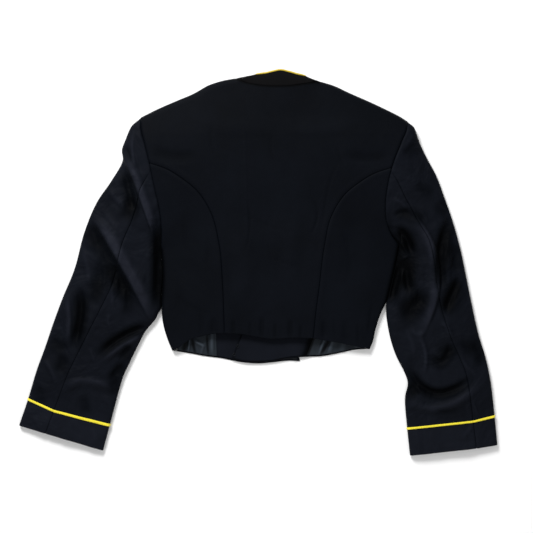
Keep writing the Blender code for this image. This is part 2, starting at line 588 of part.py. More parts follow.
def sleeve_point(hand, share, run, lower):
    """Point of a sleeve's outer face at a share of its length and a plan run from the outer edge, on either face."""
    outer, elbow, inner = sleeve_frame(hand, share)
    first, second = np.linalg.norm(elbow - outer), np.linalg.norm(inner - elbow)
    radius = table_column(SLEEVES[hand], "edge", share)
    rise = table_column(SLEEVES[hand], "rise", share)
    start, bend, end = sleeve_frame(hand, 0)
    split = ELBOW[hand] / PIT[hand]
    if run < first:
        part = run / first
        place, straight, along = outer + (elbow - outer) * part, start + (bend - start) * part, split * part
    else:
        part = (run - first) / second
        place, straight = elbow + (inner - elbow) * part, bend + (end - bend) * part
        along = split + (1 - split) * part
    at_arm = at_shares(LINES["armhole", hand], [along * PIT[hand] / ARM_LENGTH[hand]])[0]
    place = place + (at_arm - straight) * (1 - ramp(share, 0, 0.16)) ** 1.5
    if share > 0:
        off, outwards = beside(hand, place)
        place = place + outwards * max(min(SLEEVE_CLEAR, 60 * MM * share) - off, 0)
    whole = first + second
    outer_gap, inner_gap = max(run, 0), max(whole - run, 0)
    if lower:
        near = ramp(min(outer_gap, inner_gap), 0, SIDE_EDGE)
        lift = BRAID_LIFT * (1 - ramp(abs(share - BRAID_SHARE[hand]), 0.008, 0.034)) * near
        height = tucked(outer_gap, radius) + tucked(inner_gap, SIDE_EDGE) + lift
        return np.array([*place, height])
    blend = radius + (SIDE_EDGE - radius) * run / whole
    height = 2 * blend * rolled(outer_gap, radius) / (2 * radius) * rolled(inner_gap, SIDE_EDGE) / (2 * SIDE_EDGE)
    swell = (1 - np.exp(-outer_gap / (34 * MM))) * (1 - np.exp(-inner_gap / (34 * MM)))
    edge_fade = ramp(min(outer_gap, inner_gap), 0, 7 * MM) * ramp(share, 0, 0.03)
    height += rise * swell + fold_height(place[None], SLEEVE_FOLDS[hand])[0] * edge_fade
    height = max(height, min(LOWEST_TOP, rolled(min(outer_gap, inner_gap), SIDE_EDGE)))
    at_seam = back_height(at_arm[None])[0]
    joined = ramp(share, 0, 0.12)
    return np.array([*place, at_seam + (height - at_seam) * joined])


SLEEVE_SHARES = [0, 0.014, 0.032, 0.055, 0.085, 0.12, 0.155, 0.19, 0.23, 0.275, 0.325, 0.38, 0.435, 0.49, 0.54]
SLEEVE_SHARES += [0.58, 0.61, 0.65, 0.69, 0.73, 0.77, 0.81, 0.85]


def sleeve_skin(hand, part, shares):
    """Grid of a sleeve part: the top sleeve turns round the outer edge, the under sleeve round the inner one."""
    rows = []
    for share in shares:
        outer, elbow, inner = sleeve_frame(hand, share)
        first, second = np.linalg.norm(elbow - outer), np.linalg.norm(inner - elbow)
        whole = first + second
        radius = table_column(SLEEVES[hand], "edge", share) if part == "top" else SIDE_EDGE
        knots = ARM_RING[hand]
        if part == "top":
            flat = first * knots[(knots > 1.2 * SHOULDER_EDGE) & (knots <= ELBOW[hand])][::-1] / ELBOW[hand]
        else:
            flat = knots[(knots >= ELBOW[hand]) & (knots < PIT[hand] - 1.2 * SIDE_EDGE)]
            flat = second * (PIT[hand] - flat) / (PIT[hand] - ELBOW[hand])
        upper = np.concatenate([flat, radius * np.array([1, 0.5, 0.14, 0])])
        beyond = whole - UNDER_TURN if part == "top" else UNDER_TURN
        lower = np.concatenate([radius * np.array([0.14, 0.5]), np.linspace(radius, beyond, 4 if part == "top" else 2)])
        row = []
        for face, runs in ((False, upper), (True, lower)):
            for run in runs:
                row.append(sleeve_point(hand, share, run if part == "top" else whole - run, face))
        rows.append(row)
    return np.array(rows)


def armhole_across(hand, skin):
    """Plan vectors from the armhole into the sleeve at the points of its first ring."""
    arm = LINES["armhole", hand]
    run = np.gradient(arm, axis=0)
    nearest = [np.linalg.norm(arm - p[:2], axis=1).argmin() for p in skin[0]]
    across = np.stack([-run[nearest, 1], run[nearest, 0]], axis=-1)
    across /= np.linalg.norm(across, axis=-1, keepdims=True)
    return across * (-1 if hand == "left" else 1) * np.sign(across[len(across) // 2, 0] + 1e-9)


for hand in ("left", "right"):
    middle = BRAID_SHARE[hand]
    half = BRAID_WIDE / 2 / (0.58 if hand == "left" else 0.78)
    shares = SLEEVE_SHARES + [middle - 0.034, middle - 0.012, middle - half, middle + half, middle + 0.03, 1]
    shares = sorted(set(s for s in shares if s <= middle - 0.034 or s >= middle - 0.0125))
    low = shares.index(middle - half)
    for part in ("top", "under"):
        skin = sleeve_skin(hand, part, shares)
        normal = normals_of(skin)
        normal *= np.sign(normal[:, 1, 2].mean())
        ribbon_skin, ribbon_normal = skin[low : low + 2].copy(), normal[low : low + 2].copy()
        outwards = armhole_across(hand, skin)
        outwards *= np.sign((outwards * (skin[2] - skin[0])[:, :2]).sum(-1))[:, None]
        seam(skin, normal, np.s_[0, :], outwards)
        seam(skin, normal, np.s_[:, 0], inward(skin[:, 0], skin[:, 1]))
        seam(skin, normal, np.s_[:, -1], inward(skin[:, -1], skin[:, -2]))
        wall(f"sleeve_{part}_{hand}", skin, normal, CLOTH, BLACK_WOOL)
        # Braid round the cuff, made from the sleeve's own points moved out.
        ribbon_skin += ribbon_normal * (GAP + BRAID_THICK)
        for column, neighbour in ((0, 1), (-1, -2)):
            across = inward(ribbon_skin[:, column], ribbon_skin[:, neighbour])
            seam(ribbon_skin, ribbon_normal, np.s_[:, column], across)
        wall(f"braid_{part}_{hand}", ribbon_skin, ribbon_normal, BRAID_THICK, YELLOW_BRAID)

# Collar: a band that goes round the neck. Its back half lies on the neck seam and leans outwards, its sides turn under
# at the ends of the shoulders, and its front halves lie on the floor along the front neckline. Each row gives a place
# on the neck seam, as a line and a share of it, and the band's top edge there.
COLLAR_COLUMNS = ("line", "share", "top_x", "top_y", "top_z")
COLLAR = [
    ("front left", 0.00, 38, 283, 0.1),
    ("front left", 0.20, 20, 286, 0.1),
    ("front left", 0.42, 4, 293, 0.2),
    ("front left", 0.64, -8, 305, 0.8),
    ("front left", 0.82, -13, 318, 2.2),
    ("front left", 0.94, -12, 329, 4.8),
    ("neck", 0.00, -9, 335.5, 8.5),
    ("neck", 0.05, -5, 338, 12.5),
    ("neck", 0.13, 2, 340.5, 15.2),
    ("neck", 0.25, 14, 344, 16.6),
    ("neck", 0.38, 28, 346.3, 17.2),
    ("neck", 0.52, 43, 346.8, 17.4),
    ("neck", 0.65, 57, 344.4, 17.2),
    ("neck", 0.78, 71, 340.8, 16.6),
    ("neck", 0.89, 81, 338, 15.2),
    ("neck", 0.96, 87, 335, 12.5),
    ("neck", 1.00, 89, 331, 8.5),
    ("front right", 0.94, 91, 325, 4.8),
    ("front right", 0.82, 91, 314, 2.2),
    ("front right", 0.64, 86, 303, 0.8),
    ("front right", 0.42, 75, 292, 0.2),
    ("front right", 0.20, 60, 286, 0.1),
    ("front right", 0.00, 42, 283, 0.1),
]
knots, feet, rims = [], [], []
for line, share, x, y, z in COLLAR:
    if line == "neck":
        place = at_shares(LINES["neck"], [share])
        height = back_height(place)[0]
    else:
        hand = line.split()[1]
        place = at_shares(LINES["neck front", hand][::-1], [share])
        height = front_height(place, hand)[0]
    feet.append((*place[0], height))
    rims.append((x * MM, y * MM, z * MM))
feet, rims = np.array(feet), np.array(rims)
knots = np.concatenate([[0], np.cumsum(np.linalg.norm(np.diff(feet + rims, axis=0), axis=1))])
fine = flow(np.linspace(0, knots[-1], 47), knots, np.concatenate([feet, rims], axis=1))
foot, rim = fine[:, :3].copy(), fine[:, 3:].copy()
across = (rim - foot)[:, :2]
across /= np.linalg.norm(across, axis=1, keepdims=True)
tips = np.exp(-((foot[:, 0] + 41 * MM) / (11 * MM)) ** 2) + np.exp(-((foot[:, 0] - 111 * MM) / (11 * MM)) ** 2)
foot[:, :2] += across * (0.9 + 4.0 * tips[:, None]) * MM
foot[:, 2], rim[:, 2] = np.maximum(foot[:, 2], 0), np.maximum(rim[:, 2], 0)
t = np.array([0, 1 / 3, 2 / 3, 1])[:, None, None]
skin = (1 - t) * foot[None] + t * rim[None]
normal = normals_of(skin)
normal *= np.sign(normal[1, 23, 2])
seam(skin, normal, np.s_[0, :], across)
wall("collar", skin, normal, COLLAR_CLOTH, COLLAR_FELT)

# Piping: a cord on the collar's top edge, all the way round.
spine = rim - normal[-1] * COLLAR_CLOTH / 2
up = rim - foot
up /= np.linalg.norm(up, axis=1, keepdims=True)
run = np.gradient(spine, axis=0)
run /= np.linalg.norm(run, axis=1, keepdims=True)
side = np.cross(run, up)
side /= np.linalg.norm(side, axis=1, keepdims=True)
up = np.cross(side, run)
spine = spine + up * (PIPING_RADIUS + GAP)
angles = np.linspace(0, 2 * np.pi, 6, endpoint=False)[None, :, None]
tube = spine[:, None] + PIPING_RADIUS * (np.cos(angles) * up[:, None] + np.sin(angles) * side[:, None])
count, sides = tube.shape[:2]
at = np.arange(count * sides).reshape(count, sides)
faces = [
    tuple(int(v) for v in (at[i, j], at[i, (j + 1) % sides], at[i + 1, (j + 1) % sides], at[i + 1, j]))
    for i in range(count - 1)
    for j in range(sides)
]
faces += [tuple(int(v) for v in at[0][::-1]), tuple(int(v) for v in at[-1])]
solid("collar_piping", tube.reshape(-1, 3), faces, GOLD_CORD)

# Split rings of the front buttons and the wire eyes at the lower corners: name, centre and height over the floor.
RINGS = [
    ("button_ring_1", -36, -150, 8.1, 2.4),
    ("button_ring_2", -43, -165, 8.1, 2.4),
    ("button_ring_3", 66, -173.9, 4.1, 2.0),
    ("side_eye_left", -147.5, -156.3, 3.9, 2.0),
    ("side_eye_right", 194, -153, 2.5, 2.0),
]
for name, x, y, z, radius in RINGS:
    turn = np.linspace(0, 2 * np.pi, 12, endpoint=False)[:, None, None]
    round_wire = np.linspace(0, 2 * np.pi, 5, endpoint=False)[None, :, None]
    reach = radius * MM + RING_WIRE * np.cos(round_wire)
    ring = np.concatenate([reach * np.cos(turn), reach * np.sin(turn), RING_WIRE * np.sin(round_wire) + 0 * turn], axis=-1)
    loop_wall(name, ring + np.array([x, y, z]) * MM, STEEL_WIRE)
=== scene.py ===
"""Looks of a black mess jacket that lies face down on a pale surface, seen from straight above."""

import bpy
import numpy as np
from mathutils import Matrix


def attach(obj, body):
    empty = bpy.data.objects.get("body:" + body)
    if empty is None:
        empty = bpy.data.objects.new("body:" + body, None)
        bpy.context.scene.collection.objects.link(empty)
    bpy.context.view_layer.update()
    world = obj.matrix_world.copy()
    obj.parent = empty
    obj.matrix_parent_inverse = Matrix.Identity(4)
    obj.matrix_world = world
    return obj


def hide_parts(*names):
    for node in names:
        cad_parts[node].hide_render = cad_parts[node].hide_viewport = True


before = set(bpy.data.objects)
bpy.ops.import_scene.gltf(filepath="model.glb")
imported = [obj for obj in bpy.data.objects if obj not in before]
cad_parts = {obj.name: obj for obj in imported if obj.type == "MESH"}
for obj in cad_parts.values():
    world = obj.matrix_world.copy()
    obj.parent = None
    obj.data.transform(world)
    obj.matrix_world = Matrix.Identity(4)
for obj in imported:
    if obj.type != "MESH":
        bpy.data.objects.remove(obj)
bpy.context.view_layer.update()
MM = 0.001

# Room. A pale floor that the jacket lies on, a soft lamp at the upper left of the picture with a weaker one
# below it, and a camera that looks straight down from 2.6 m on a frame 0.96 m wide.
FLOOR_REACH = 6
FLOOR_Z = -0.0004
floor_corners = [(x * FLOOR_REACH, y * FLOOR_REACH, FLOOR_Z) for x, y in ((-1, -1), (1, -1), (1, 1), (-1, 1))]
floor_mesh = bpy.data.meshes.new("floor")
floor_mesh.from_pydata(floor_corners, [], [(0, 1, 2, 3)])
floor = bpy.data.objects.new("floor", floor_mesh)
bpy.context.collection.objects.link(floor)
pale = bpy.data.materials.new("pale floor")
pale.use_nodes = True
pale_shader = pale.node_tree.nodes["Principled BSDF"]
pale_shader.inputs["Base Color"].default_value = (0.93, 0.93, 0.93, 1)
pale_shader.inputs["Roughness"].default_value = 0.9
floor_mesh.materials.append(pale)

sky = bpy.data.worlds.new("white room")
bpy.context.scene.world = sky
sky.use_nodes = True
sky.node_tree.nodes["Background"].inputs["Color"].default_value = (1, 1, 1, 1)
sky.node_tree.nodes["Background"].inputs["Strength"].default_value = 0.42
bpy.context.scene.view_settings.view_transform = "Standard"

for title, place, turn, size, watts in (
    ("window light", (-0.8, 1.8, 1.6), (-0.788, -0.464, 0.0), 1.0, 80),
    ("fill light", (0.3, -1.8, 1.8), (0.78, 0.14, 0.0), 1.4, 16),
):
    lamp = bpy.data.lights.new(title, "AREA")
    lamp.shape, lamp.size, lamp.energy = "DISK", size, watts
    holder = bpy.data.objects.new(title, lamp)
    holder.location, holder.rotation_euler = place, turn
    bpy.context.collection.objects.link(holder)

CAMERA_HEIGHT = 2.6
FRAME_WIDTH = 0.9594
SENSOR = 36
lens = bpy.data.cameras.new("photo view")
lens.sensor_width, lens.lens = SENSOR, CAMERA_HEIGHT * SENSOR / FRAME_WIDTH
camera = bpy.data.objects.new("photo view", lens)
camera.location = (14.8 * MM, -8.8 * MM, CAMERA_HEIGHT)
bpy.context.collection.objects.link(camera)
bpy.context.scene.camera = camera

# Back. Three panels of black worsted: a centre back and two side backs, joined by curved seams that run
# from the hem into the armholes. The tables are plan lines in millimetres, from the hem up, and their
# middle is TABLE_CENTRE. The cloth is pressed open along each seam, so a low ridge runs on both sides of
# its groove.
TABLE_CENTRE = (0.5 * MM, 1.6 * MM)
CLOTH = 1.5 * MM
GAP = 0.3 * MM
SIDE_EDGE = 5.0 * MM
SHOULDER_EDGE = 9.0 * MM
SEAM_DEPTH = 1.3 * MM
SEAM_REACH = 1.1 * MM
ARM_SEAM_DEPTH = 2.4 * MM
ALLOWANCE_HEIGHT = 0.35 * MM
ALLOWANCE_PLACE = 6 * MM
ALLOWANCE_REACH = 4 * MM
PRINCESS = {
    "left": [
        (-60, -126), (-61, -89), (-63, -41), (-70, 37), (-83, 87),
        (-108, 127), (-133, 148), (-164, 167), (-194, 177),
    ],
    "right": [
        (99, -135), (103, -96), (110, -41), (119, 30), (131, 82),
        (157, 123), (179, 141), (209, 159), (239, 169),
    ],
}
ARMHOLE = {
    "left": [
        (-210, 260), (-209, 238), (-203, 214), (-194, 177),
        (-184, 129), (-177, 98), (-173, 62), (-174, 22),
    ],
    "right": [
        (268, 253), (266, 238), (257, 216), (239, 169), (231, 133),
        (228, 102), (230, 76), (239, 50), (254, 30),
    ],
}
SIDE = {
    "left": [(-154, -158), (-162, -139), (-171, -107), (-173, -68), (-171, -22), (-174, 22)],
    "right": [
        (201, -155), (206, -143), (211, -121), (220, -93),
        (231, -69), (238, -42), (246, -8), (254, 30),
    ],
}
SHOULDER = {
    "left": [(-210, 260), (-182, 274), (-148, 289), (-115, 303), (-88, 318), (-63, 326), (-41, 330)],
    "right": [(268, 253), (257, 260), (230, 274), (198, 289), (166, 303), (133, 318), (113, 324)],
}
NECK = [(-41, 330), (-23, 322), (-5, 318), (16, 315.4), (40, 315), (61, 316.2), (85, 320), (113, 324)]
HEM_BACK = {
    "left": [(-154, -158), (-146, -154), (-122, -138), (-99, -131), (-80, -127), (-60, -126)],
    "middle": [(-60, -126), (-27, -128), (-4, -132), (25, -136), (59, -134), (99, -135)],
    "right": [(99, -135), (114, -138), (149, -144), (181, -151), (201, -155)],
}
BACK_RISE = [(-160, 6.5), (-60, 9.5), (40, 12), (140, 12.5), (230, 11), (290, 6), (330, 2)]
# Folds: start, middle and end in plan, height (a trough is below zero), and reach to the line's left and
# right.
FOLD_COLUMNS = ("x0", "y0", "x1", "y1", "x2", "y2", "height", "left", "right")
BACK_FOLDS = [
    (-80, -96, -79, -112, -80, -132, -1.6, 7, 7),
    (-44, -100, -44, -116, -44, -132, -1.2, 7, 7),
    (-14, -104, -14, -118, -14, -134, -0.7, 5, 6),
    (7, -96, 7, -112, 7, -138, -1.2, 8, 8),
    (31, -106, 31, -120, 31, -140, -0.8, 6, 6),
    (58, -100, 58, -118, 58, -138, -1.2, 8, 8),
    (77, -108, 76, -120, 76, -140, -0.8, 6, 5),
    (119, -100, 119, -116, 119, -140, -1.8, 7, 7),
    (156, -100, 157, -120, 158, -148, -1.4, 8, 8),
    (-40, 60, -30, -10, -44, -80, 0.9, 34, 40),
    (60, 90, 52, 10, 66, -70, 0.8, 30, 36),
    (-150, 120, -128, 60, -136, -60, -1.2, 30, 34),
    (176, 120, 170, 60, 176, -50, -1.2, 30, 34),
    (-120, 262, -40, 244, 40, 250, 0.7, 26, 22),
    (30, 250, 120, 240, 190, 262, 0.7, 26, 22),
    (-190, 206, -150, 190, -104, 196, -1.0, 14, 18),
    (236, 200, 200, 186, 150, 196, -1.0, 14, 18),
    (-133, 92, -130, 52, -124, 10, -0.7, 4, 5),
    (-146, -28, -142, -58, -150, -92, -0.8, 4, 4),
    (-96, 66, -88, 30, -94, -12, -0.5, 4, 5),
    (-22, 118, -14, 60, -30, 6, -0.5, 3, 5),
    (14, 12, 44, 2, 78, -10, -0.5, 4, 3),
    (96, 118, 106, 84, 92, 48, -0.8, 4, 4),
    (150, 60, 164, 10, 158, -44, -0.6, 4, 5),
    (206, -70, 202, -96, 198, -130, -0.9, 5, 5),
    (28, 232, 22, 208, 30, 180, -0.5, 3, 4),
    (-80, 246, -84, 216, -76, 186, -0.5, 4, 4),
    (132, 214, 146, 188, 150, 160, -0.5, 4, 4),
    (-104, -84, -100, -108, -104, -134, -1.0, 4, 5),
    (136, -96, 138, -116, 137, -142, -0.9, 4, 4),
    (178, -104, 180, -124, 180, -150, -1.0, 5, 4),
    (157, 189, 130, 148, 115, 54, -0.6, 3, 5),
    (-59, 103, 10, 70, 85, 50, -0.4, 4, 3),
    (-26, 270, -22, 150, -20, 20, 0.35, 4, 4),
    (-150, -60, -110, -84, -78, -92, -0.7, 4, 4),
]


def flow(at, places, values):
    """Cubic curve through values at places, read at others; each slope is the mean of its neighbours'."""
    slopes = np.gradient(values, places, axis=0)
    at = np.asarray(at, float)
    low = np.clip(np.searchsorted(places, at, side="right") - 1, 0, len(places) - 2)
    step = places[low + 1] - places[low]
    t = (at - places[low]) / step
    if values.ndim > 1:
        t, step = t[..., None], step[..., None]
    return (
        (1 + 2 * t) * (1 - t) ** 2 * values[low]
        + t * (1 - t) ** 2 * step * slopes[low]
        + t * t * (3 - 2 * t) * values[low + 1]
        + t * t * (t - 1) * step * slopes[low + 1]
    )


def run_of(line):
    """Distance along a line of points, from its first point."""
    return np.concatenate([[0], np.cumsum(np.linalg.norm(np.diff(line, axis=0), axis=1))])


def at_shares(line, shares):
    """Places on a line at shares of its length."""
    run = run_of(line)
    shares = np.asarray(shares, float)
    return np.stack([np.interp(shares * run[-1], run, line[:, k]) for k in range(line.shape[1])], axis=-1)


def line_of(points, count=400):
    """Smooth plan line through a table's points, as evenly spaced places."""
    points = np.array(points, float) * MM
    run = run_of(points)
    return at_shares(flow(np.linspace(0, run[-1], count), run, points), np.linspace(0, 1, count))


def ramp(value, low, high):
    """Smooth step from 0 at low to 1 at high."""
    t = np.clip((value - low) / (high - low), 0, 1)
    return t * t * (3 - 2 * t)


def distance(places, line):
    """Plan distance from each place to a line of short straight pieces."""
    flat = places.reshape(-1, 2)
    best = np.full(len(flat), np.inf)
    thin = line[:: max(1, len(line) // 60)]
    thin = thin if np.allclose(thin[-1], line[-1]) else np.vstack([thin, line[-1]])
    for start, along in zip(thin[:-1], np.diff(thin, axis=0)):
        offset = flat - start
        t = np.clip(offset @ along / (along @ along), 0, 1)
        best = np.minimum(best, np.hypot(*(offset - t[:, None] * along).T))
    return best.reshape(places.shape[:-1])


def rolled(gap, radius):
    """Upper half of a rolled edge: radius at the edge, twice that from one radius inwards."""
    inside = np.clip(radius - gap, 0, radius)
    return radius + np.sqrt(radius**2 - inside**2)


def tucked(gap, radius):
    """Lower half of the same edge: radius at the edge, 0 from one radius inwards."""
    inside = np.clip(radius - gap, 0, radius)
    return radius - np.sqrt(radius**2 - inside**2)


def fold_height(places, folds, spread=1.0):
    """Height of soft ridges and troughs: (1 - (distance/reach)^2)^2 across a curve through three points."""
    total = np.zeros(places.shape[:-1])
    t = np.linspace(0, 1, 25)[:, None]
    for row in folds:
        fold = dict(zip(FOLD_COLUMNS, row))
        start, middle, end = np.array([(fold[f"x{k}"], fold[f"y{k}"]) for k in range(3)]) * MM
        spine = (1 - t) * (1 - 2 * t) * start + 4 * t * (1 - t) * middle + t * (2 * t - 1) * end
        reach = max(fold["left"], fold["right"]) * MM * spread
        low, high = spine.min(0) - reach, spine.max(0) + reach
        near = ((places > low) & (places < high)).all(-1)
        spots = places[near]
        if not len(spots):
            continue
        offset = spots[:, None] - spine
        nearest = np.linalg.norm(offset, axis=-1).argmin(-1)
        along = np.gradient(spine, axis=0)[nearest]
        off = offset[np.arange(len(spots)), nearest]
        side = along[:, 0] * off[:, 1] - along[:, 1] * off[:, 0]
        wide = np.where(side > 0, fold["left"], fold["right"]) * MM * spread
        across = np.clip(distance(spots, spine) / wide, 0, 1)
        run = run_of(spine)
        share = (run[nearest] + (off * along).sum(-1) / np.linalg.norm(along, axis=-1)) / run[-1]
        taper = ramp(share, -0.04, 0.34) * ramp(1 - share, -0.04, 0.34)
        total[near] += fold["height"] * MM * (1 - across**2) ** 2 * taper
    return total


# A hollow this deep gets the darkest painted shade, and a ridge this high the most painted highlight. The
# highlight is painted on a ridge's crest alone.
HOLLOW_DEPTH = 6.5 * MM
RIDGE_HEIGHT = 13 * MM
RIDGE_SPREAD = 0.7


def fold_shading(places, folds, spread=2.1):
    """Painted shading: from -1, painted shade in the hollows, to 0.35, painted highlight along the ridges."""
    depth = FOLD_COLUMNS.index("height")
    hollows = fold_height(places, [row for row in folds if row[depth] < 0], spread) / HOLLOW_DEPTH
    ridges = fold_height(places, [row for row in folds if row[depth] > 0], RIDGE_SPREAD) / RIDGE_HEIGHT
    return np.clip(hollows, -1, 0) + np.clip(ridges, 0, 0.35)


def drape(places, size, height, seed):
    """Slow unevenness of cloth: a sum of eight waves in directions and phases drawn from a seed."""
    random = np.random.default_rng(seed)
    waves = 8
    angles = random.uniform(0, np.pi, waves)
    phases = random.uniform(0, 6.28, waves)
    pitches = random.uniform(0.7, 1.6, waves)
    total = np.zeros(places.shape[:-1])
    for angle, phase, pitch in zip(angles, phases, pitches):
        total += np.sin(2 * np.pi * (places @ [np.cos(angle), np.sin(angle)]) / (size * pitch) + phase)
    return height * total / waves


BACK_LINES = {
    "princess": PRINCESS,
    "armhole": ARMHOLE,
    "side": SIDE,
    "shoulder": SHOULDER,
    "hem back": HEM_BACK,
}
LINES = {"neck": line_of(NECK), ("hem back", "middle"): line_of(HEM_BACK["middle"])}
for hand in ("left", "right"):
    for title, table in BACK_LINES.items():
        LINES[title, hand] = line_of(table[hand])


def edge_gaps(places):
    """Distances to the nearest side edge and to the nearest shoulder edge."""
    return [
        np.minimum(distance(places, LINES[title, "left"]), distance(places, LINES[title, "right"]))
        for title in ("side", "shoulder")
    ]


def body_edge(places):
    """Radius of the rolled edge, growing from the side's to the shoulder's over the armhole."""
    return SIDE_EDGE + (SHOULDER_EDGE - SIDE_EDGE) * ramp(places[..., 1], 60 * MM, 220 * MM)


def allowance(off):
    """Low ridge beside a seam, where its allowance is pressed open underneath."""
    return ALLOWANCE_HEIGHT * np.exp(-((off - ALLOWANCE_PLACE) / ALLOWANCE_REACH) ** 2)


def groove(off, depth, reach):
    """Depth of a seam's groove, which falls off with the distance from the seam."""
    return depth * np.exp(-off / reach)


def back_height(places, fine=True):
    """Outer face of the back: rolled edge, swell towards the middle, folds, and a groove along each seam."""
    sides, shoulders = edge_gaps(places)
    rise = np.interp(places[..., 1], *(np.array(BACK_RISE).T * MM))
    swell = (1 - np.exp(-sides / (42 * MM))) * (1 - np.exp(-shoulders / (30 * MM)))
    fade = ramp(sides, 0, 8 * MM) * ramp(shoulders, 0, 12 * MM)
    height = rolled(np.minimum(sides, shoulders), body_edge(places)) + rise * swell
    height += (fold_height(places, BACK_FOLDS) + drape(places, 110 * MM, 0.9 * MM, 4)) * fade
    if fine:
        for hand in ("left", "right"):
            off = distance(places, LINES["princess", hand])
            height += allowance(off) * fade - groove(off, SEAM_DEPTH, SEAM_REACH)
            off = distance(places, LINES["armhole", hand])
            height -= groove(off, ARM_SEAM_DEPTH, 1.3 * MM) * ramp(sides, 0, 6 * MM)
    return height


def normals_of(skin, part=np.s_[:, :]):
    """Unit normals of a grid of points, from its neighbours, turned so that this part's face upwards."""
    normal = np.cross(np.gradient(skin, axis=0), np.gradient(skin, axis=1))
    normal /= np.linalg.norm(normal, axis=-1, keepdims=True) + 1e-12
    return normal * np.sign(normal[part][..., 2].mean())


def inward(line, neighbour):
    """Plan unit vectors across a border line, pointing to its neighbouring line."""
    along = np.gradient(line[:, :2], axis=0)
    across = np.stack([-along[:, 1], along[:, 0]], axis=-1)
    across /= np.linalg.norm(across, axis=-1, keepdims=True) + 1e-12
    return across * np.sign((across * (neighbour - line)[:, :2]).sum())


def draw_back(skin, normal, border, neighbour, gap=GAP):
    """Draws a seamed border back by half the gap and squares its cut edge."""
    across = inward(skin[border], skin[neighbour])
    skin[border][:, :2] += across * gap / 2
    flat = np.concatenate([across, np.zeros((len(across), 1))], axis=1)
    cut = normal[border] - (normal[border] * flat).sum(-1, keepdims=True) * flat
    normal[border] = cut / np.linalg.norm(cut, axis=-1, keepdims=True)


def level(skin, normal, border, lift):
    """The same for a border that meets its neighbour above or below it."""
    skin[border][:, 2] += lift * GAP / 2
    cut = normal[border] * (1, 1, 0)
    normal[border] = cut / np.linalg.norm(cut, axis=-1, keepdims=True)


def border_of(grid):
    """The border of a grid in four runs: first row, last column, last row and first column."""
    return [grid[0, :-1], grid[:-1, -1], grid[-1, :0:-1], grid[:0:-1, 0]]


def cloth(name, skin, normal, thick, paint, bulge=(0, 0, 0, 0), steps=3, shade_and_tone=None):
    """Closed sheet of cloth: a grid of outer points, the same grid moved in along its normals, and a rim.

    The rim is rounded: from outer point p to inner point q it runs p + t*(q-p) + bulge*sin(pi*t)*outwards,
    with one bulge in millimetres for each run of the border.
    """
    rows, cols = skin.shape[:2]
    inner = skin - normal * thick
    inner[..., 2] = np.maximum(inner[..., 2], 0)
    sides = border_of(skin)
    rim_out, rim_in = np.concatenate(sides), np.concatenate(border_of(inner))
    outwards = rim_out - np.concatenate([skin[1, :-1], skin[:-1, -2], skin[-2, :0:-1], skin[:0:-1, 1]])
    outwards /= np.linalg.norm(outwards, axis=1, keepdims=True) + 1e-12
    reach = np.concatenate([np.full(len(side), bulge[k] * MM) for k, side in enumerate(sides)])[:, None]
    grid = np.arange(rows * cols).reshape(rows, cols)
    rim = np.concatenate(border_of(grid))
    count = rows * cols
    points = [skin.reshape(-1, 3), inner.reshape(-1, 3)]
    rings = [rim]
    for k in range(1, steps):
        t = k / steps
        points.append(rim_out + t * (rim_in - rim_out) + reach * np.sin(np.pi * t) * outwards)
        rings.append(2 * count + (k - 1) * len(rim) + np.arange(len(rim)))
    rings.append(rim + count)
    points = np.concatenate(points) - (*TABLE_CENTRE, 0)
    quads = np.stack([grid[:-1, :-1], grid[:-1, 1:], grid[1:, 1:], grid[1:, :-1]], axis=-1).reshape(-1, 4)
    faces = [quads, quads[:, ::-1] + count]
    for a, b in zip(rings[:-1], rings[1:]):
        faces.append(np.stack([np.roll(a, -1), a, b, np.roll(b, -1)], axis=-1))
    faces = np.concatenate(faces)
    corners = points[faces]
    facing = np.cross(corners[:, 1] - corners[:, 0], corners[:, 3] - corners[:, 0])
    if (facing * corners.mean(1)).sum() < 0:
        faces = faces[:, ::-1]
    mesh = bpy.data.meshes.new(name)
    mesh.vertices.add(len(points))
    mesh.vertices.foreach_set("co", points.astype(np.float32).ravel())
    mesh.loops.add(faces.size)
    mesh.loops.foreach_set("vertex_index", faces.astype(np.int32).ravel())
    mesh.polygons.add(len(faces))
    mesh.polygons.foreach_set("loop_start", np.arange(0, faces.size, 4, dtype=np.int32))
    mesh.update(calc_edges=True)
    # The grain follows the grid: one way along its rows and the other along its columns, both in metres.
    across = np.cumsum(np.linalg.norm(np.diff(skin, axis=1, prepend=skin[:, :1]), axis=-1), axis=1)
    along = np.cumsum(np.linalg.norm(np.diff(skin, axis=0, prepend=skin[:1]), axis=-1), axis=0)
    thread = np.stack([across - across[:, cols // 2 : cols // 2 + 1], along], axis=-1).reshape(-1, 2)
    thread = np.concatenate([thread, thread] + [thread[rim]] * (steps - 1))
    threads = mesh.uv_layers.new(name="threads")
    threads.uv.foreach_set("vector", thread[faces.ravel()].astype(np.float32).ravel())
    # Painted shade and tone, one number for each point, go to the mesh as an attribute that the paint reads.
    if shade_and_tone is not None:
        painted_shade_and_tone = np.concatenate([shade_and_tone.ravel()] * 2 + [shade_and_tone.ravel()[rim]] * (steps - 1))
        mesh.attributes.new("painted_shade_and_tone", "FLOAT", "POINT").data.foreach_set("value", painted_shade_and_tone.astype(np.float32))
    mesh.shade_smooth()
    mesh.set_sharp_from_angle(angle=0.9)
    mesh.materials.append(paint)
    piece = bpy.data.objects.new(name, mesh)
    bpy.context.collection.objects.link(piece)
    return piece


def closer(count, ends=0.86):
    """Shares from 0 to 1 that stand closer together near both ends: t - ends*sin(2*pi*t)/(2*pi)."""
    t = np.linspace(0, 1, count)
    return t - ends * np.sin(2 * np.pi * t) / (2 * np.pi)


def panel(left, right, bottom, top, bottom_pull, top_pull, shares):
    """Plan grid ruled between two side lines, bent towards a bottom and a top line.

    A place is (1-u)*left + u*right + pull*(line(u) - chord(u)), summed over the bottom and the top line.
    """
    u = shares[..., None]
    grid = (1 - u) * left[:, None] + u * right[:, None]
    for line, pull in ((bottom, bottom_pull), (top, top_pull)):
        grid = grid + pull[:, None, None] * (line - ((1 - u) * line[0] + u * line[-1]))
    return grid


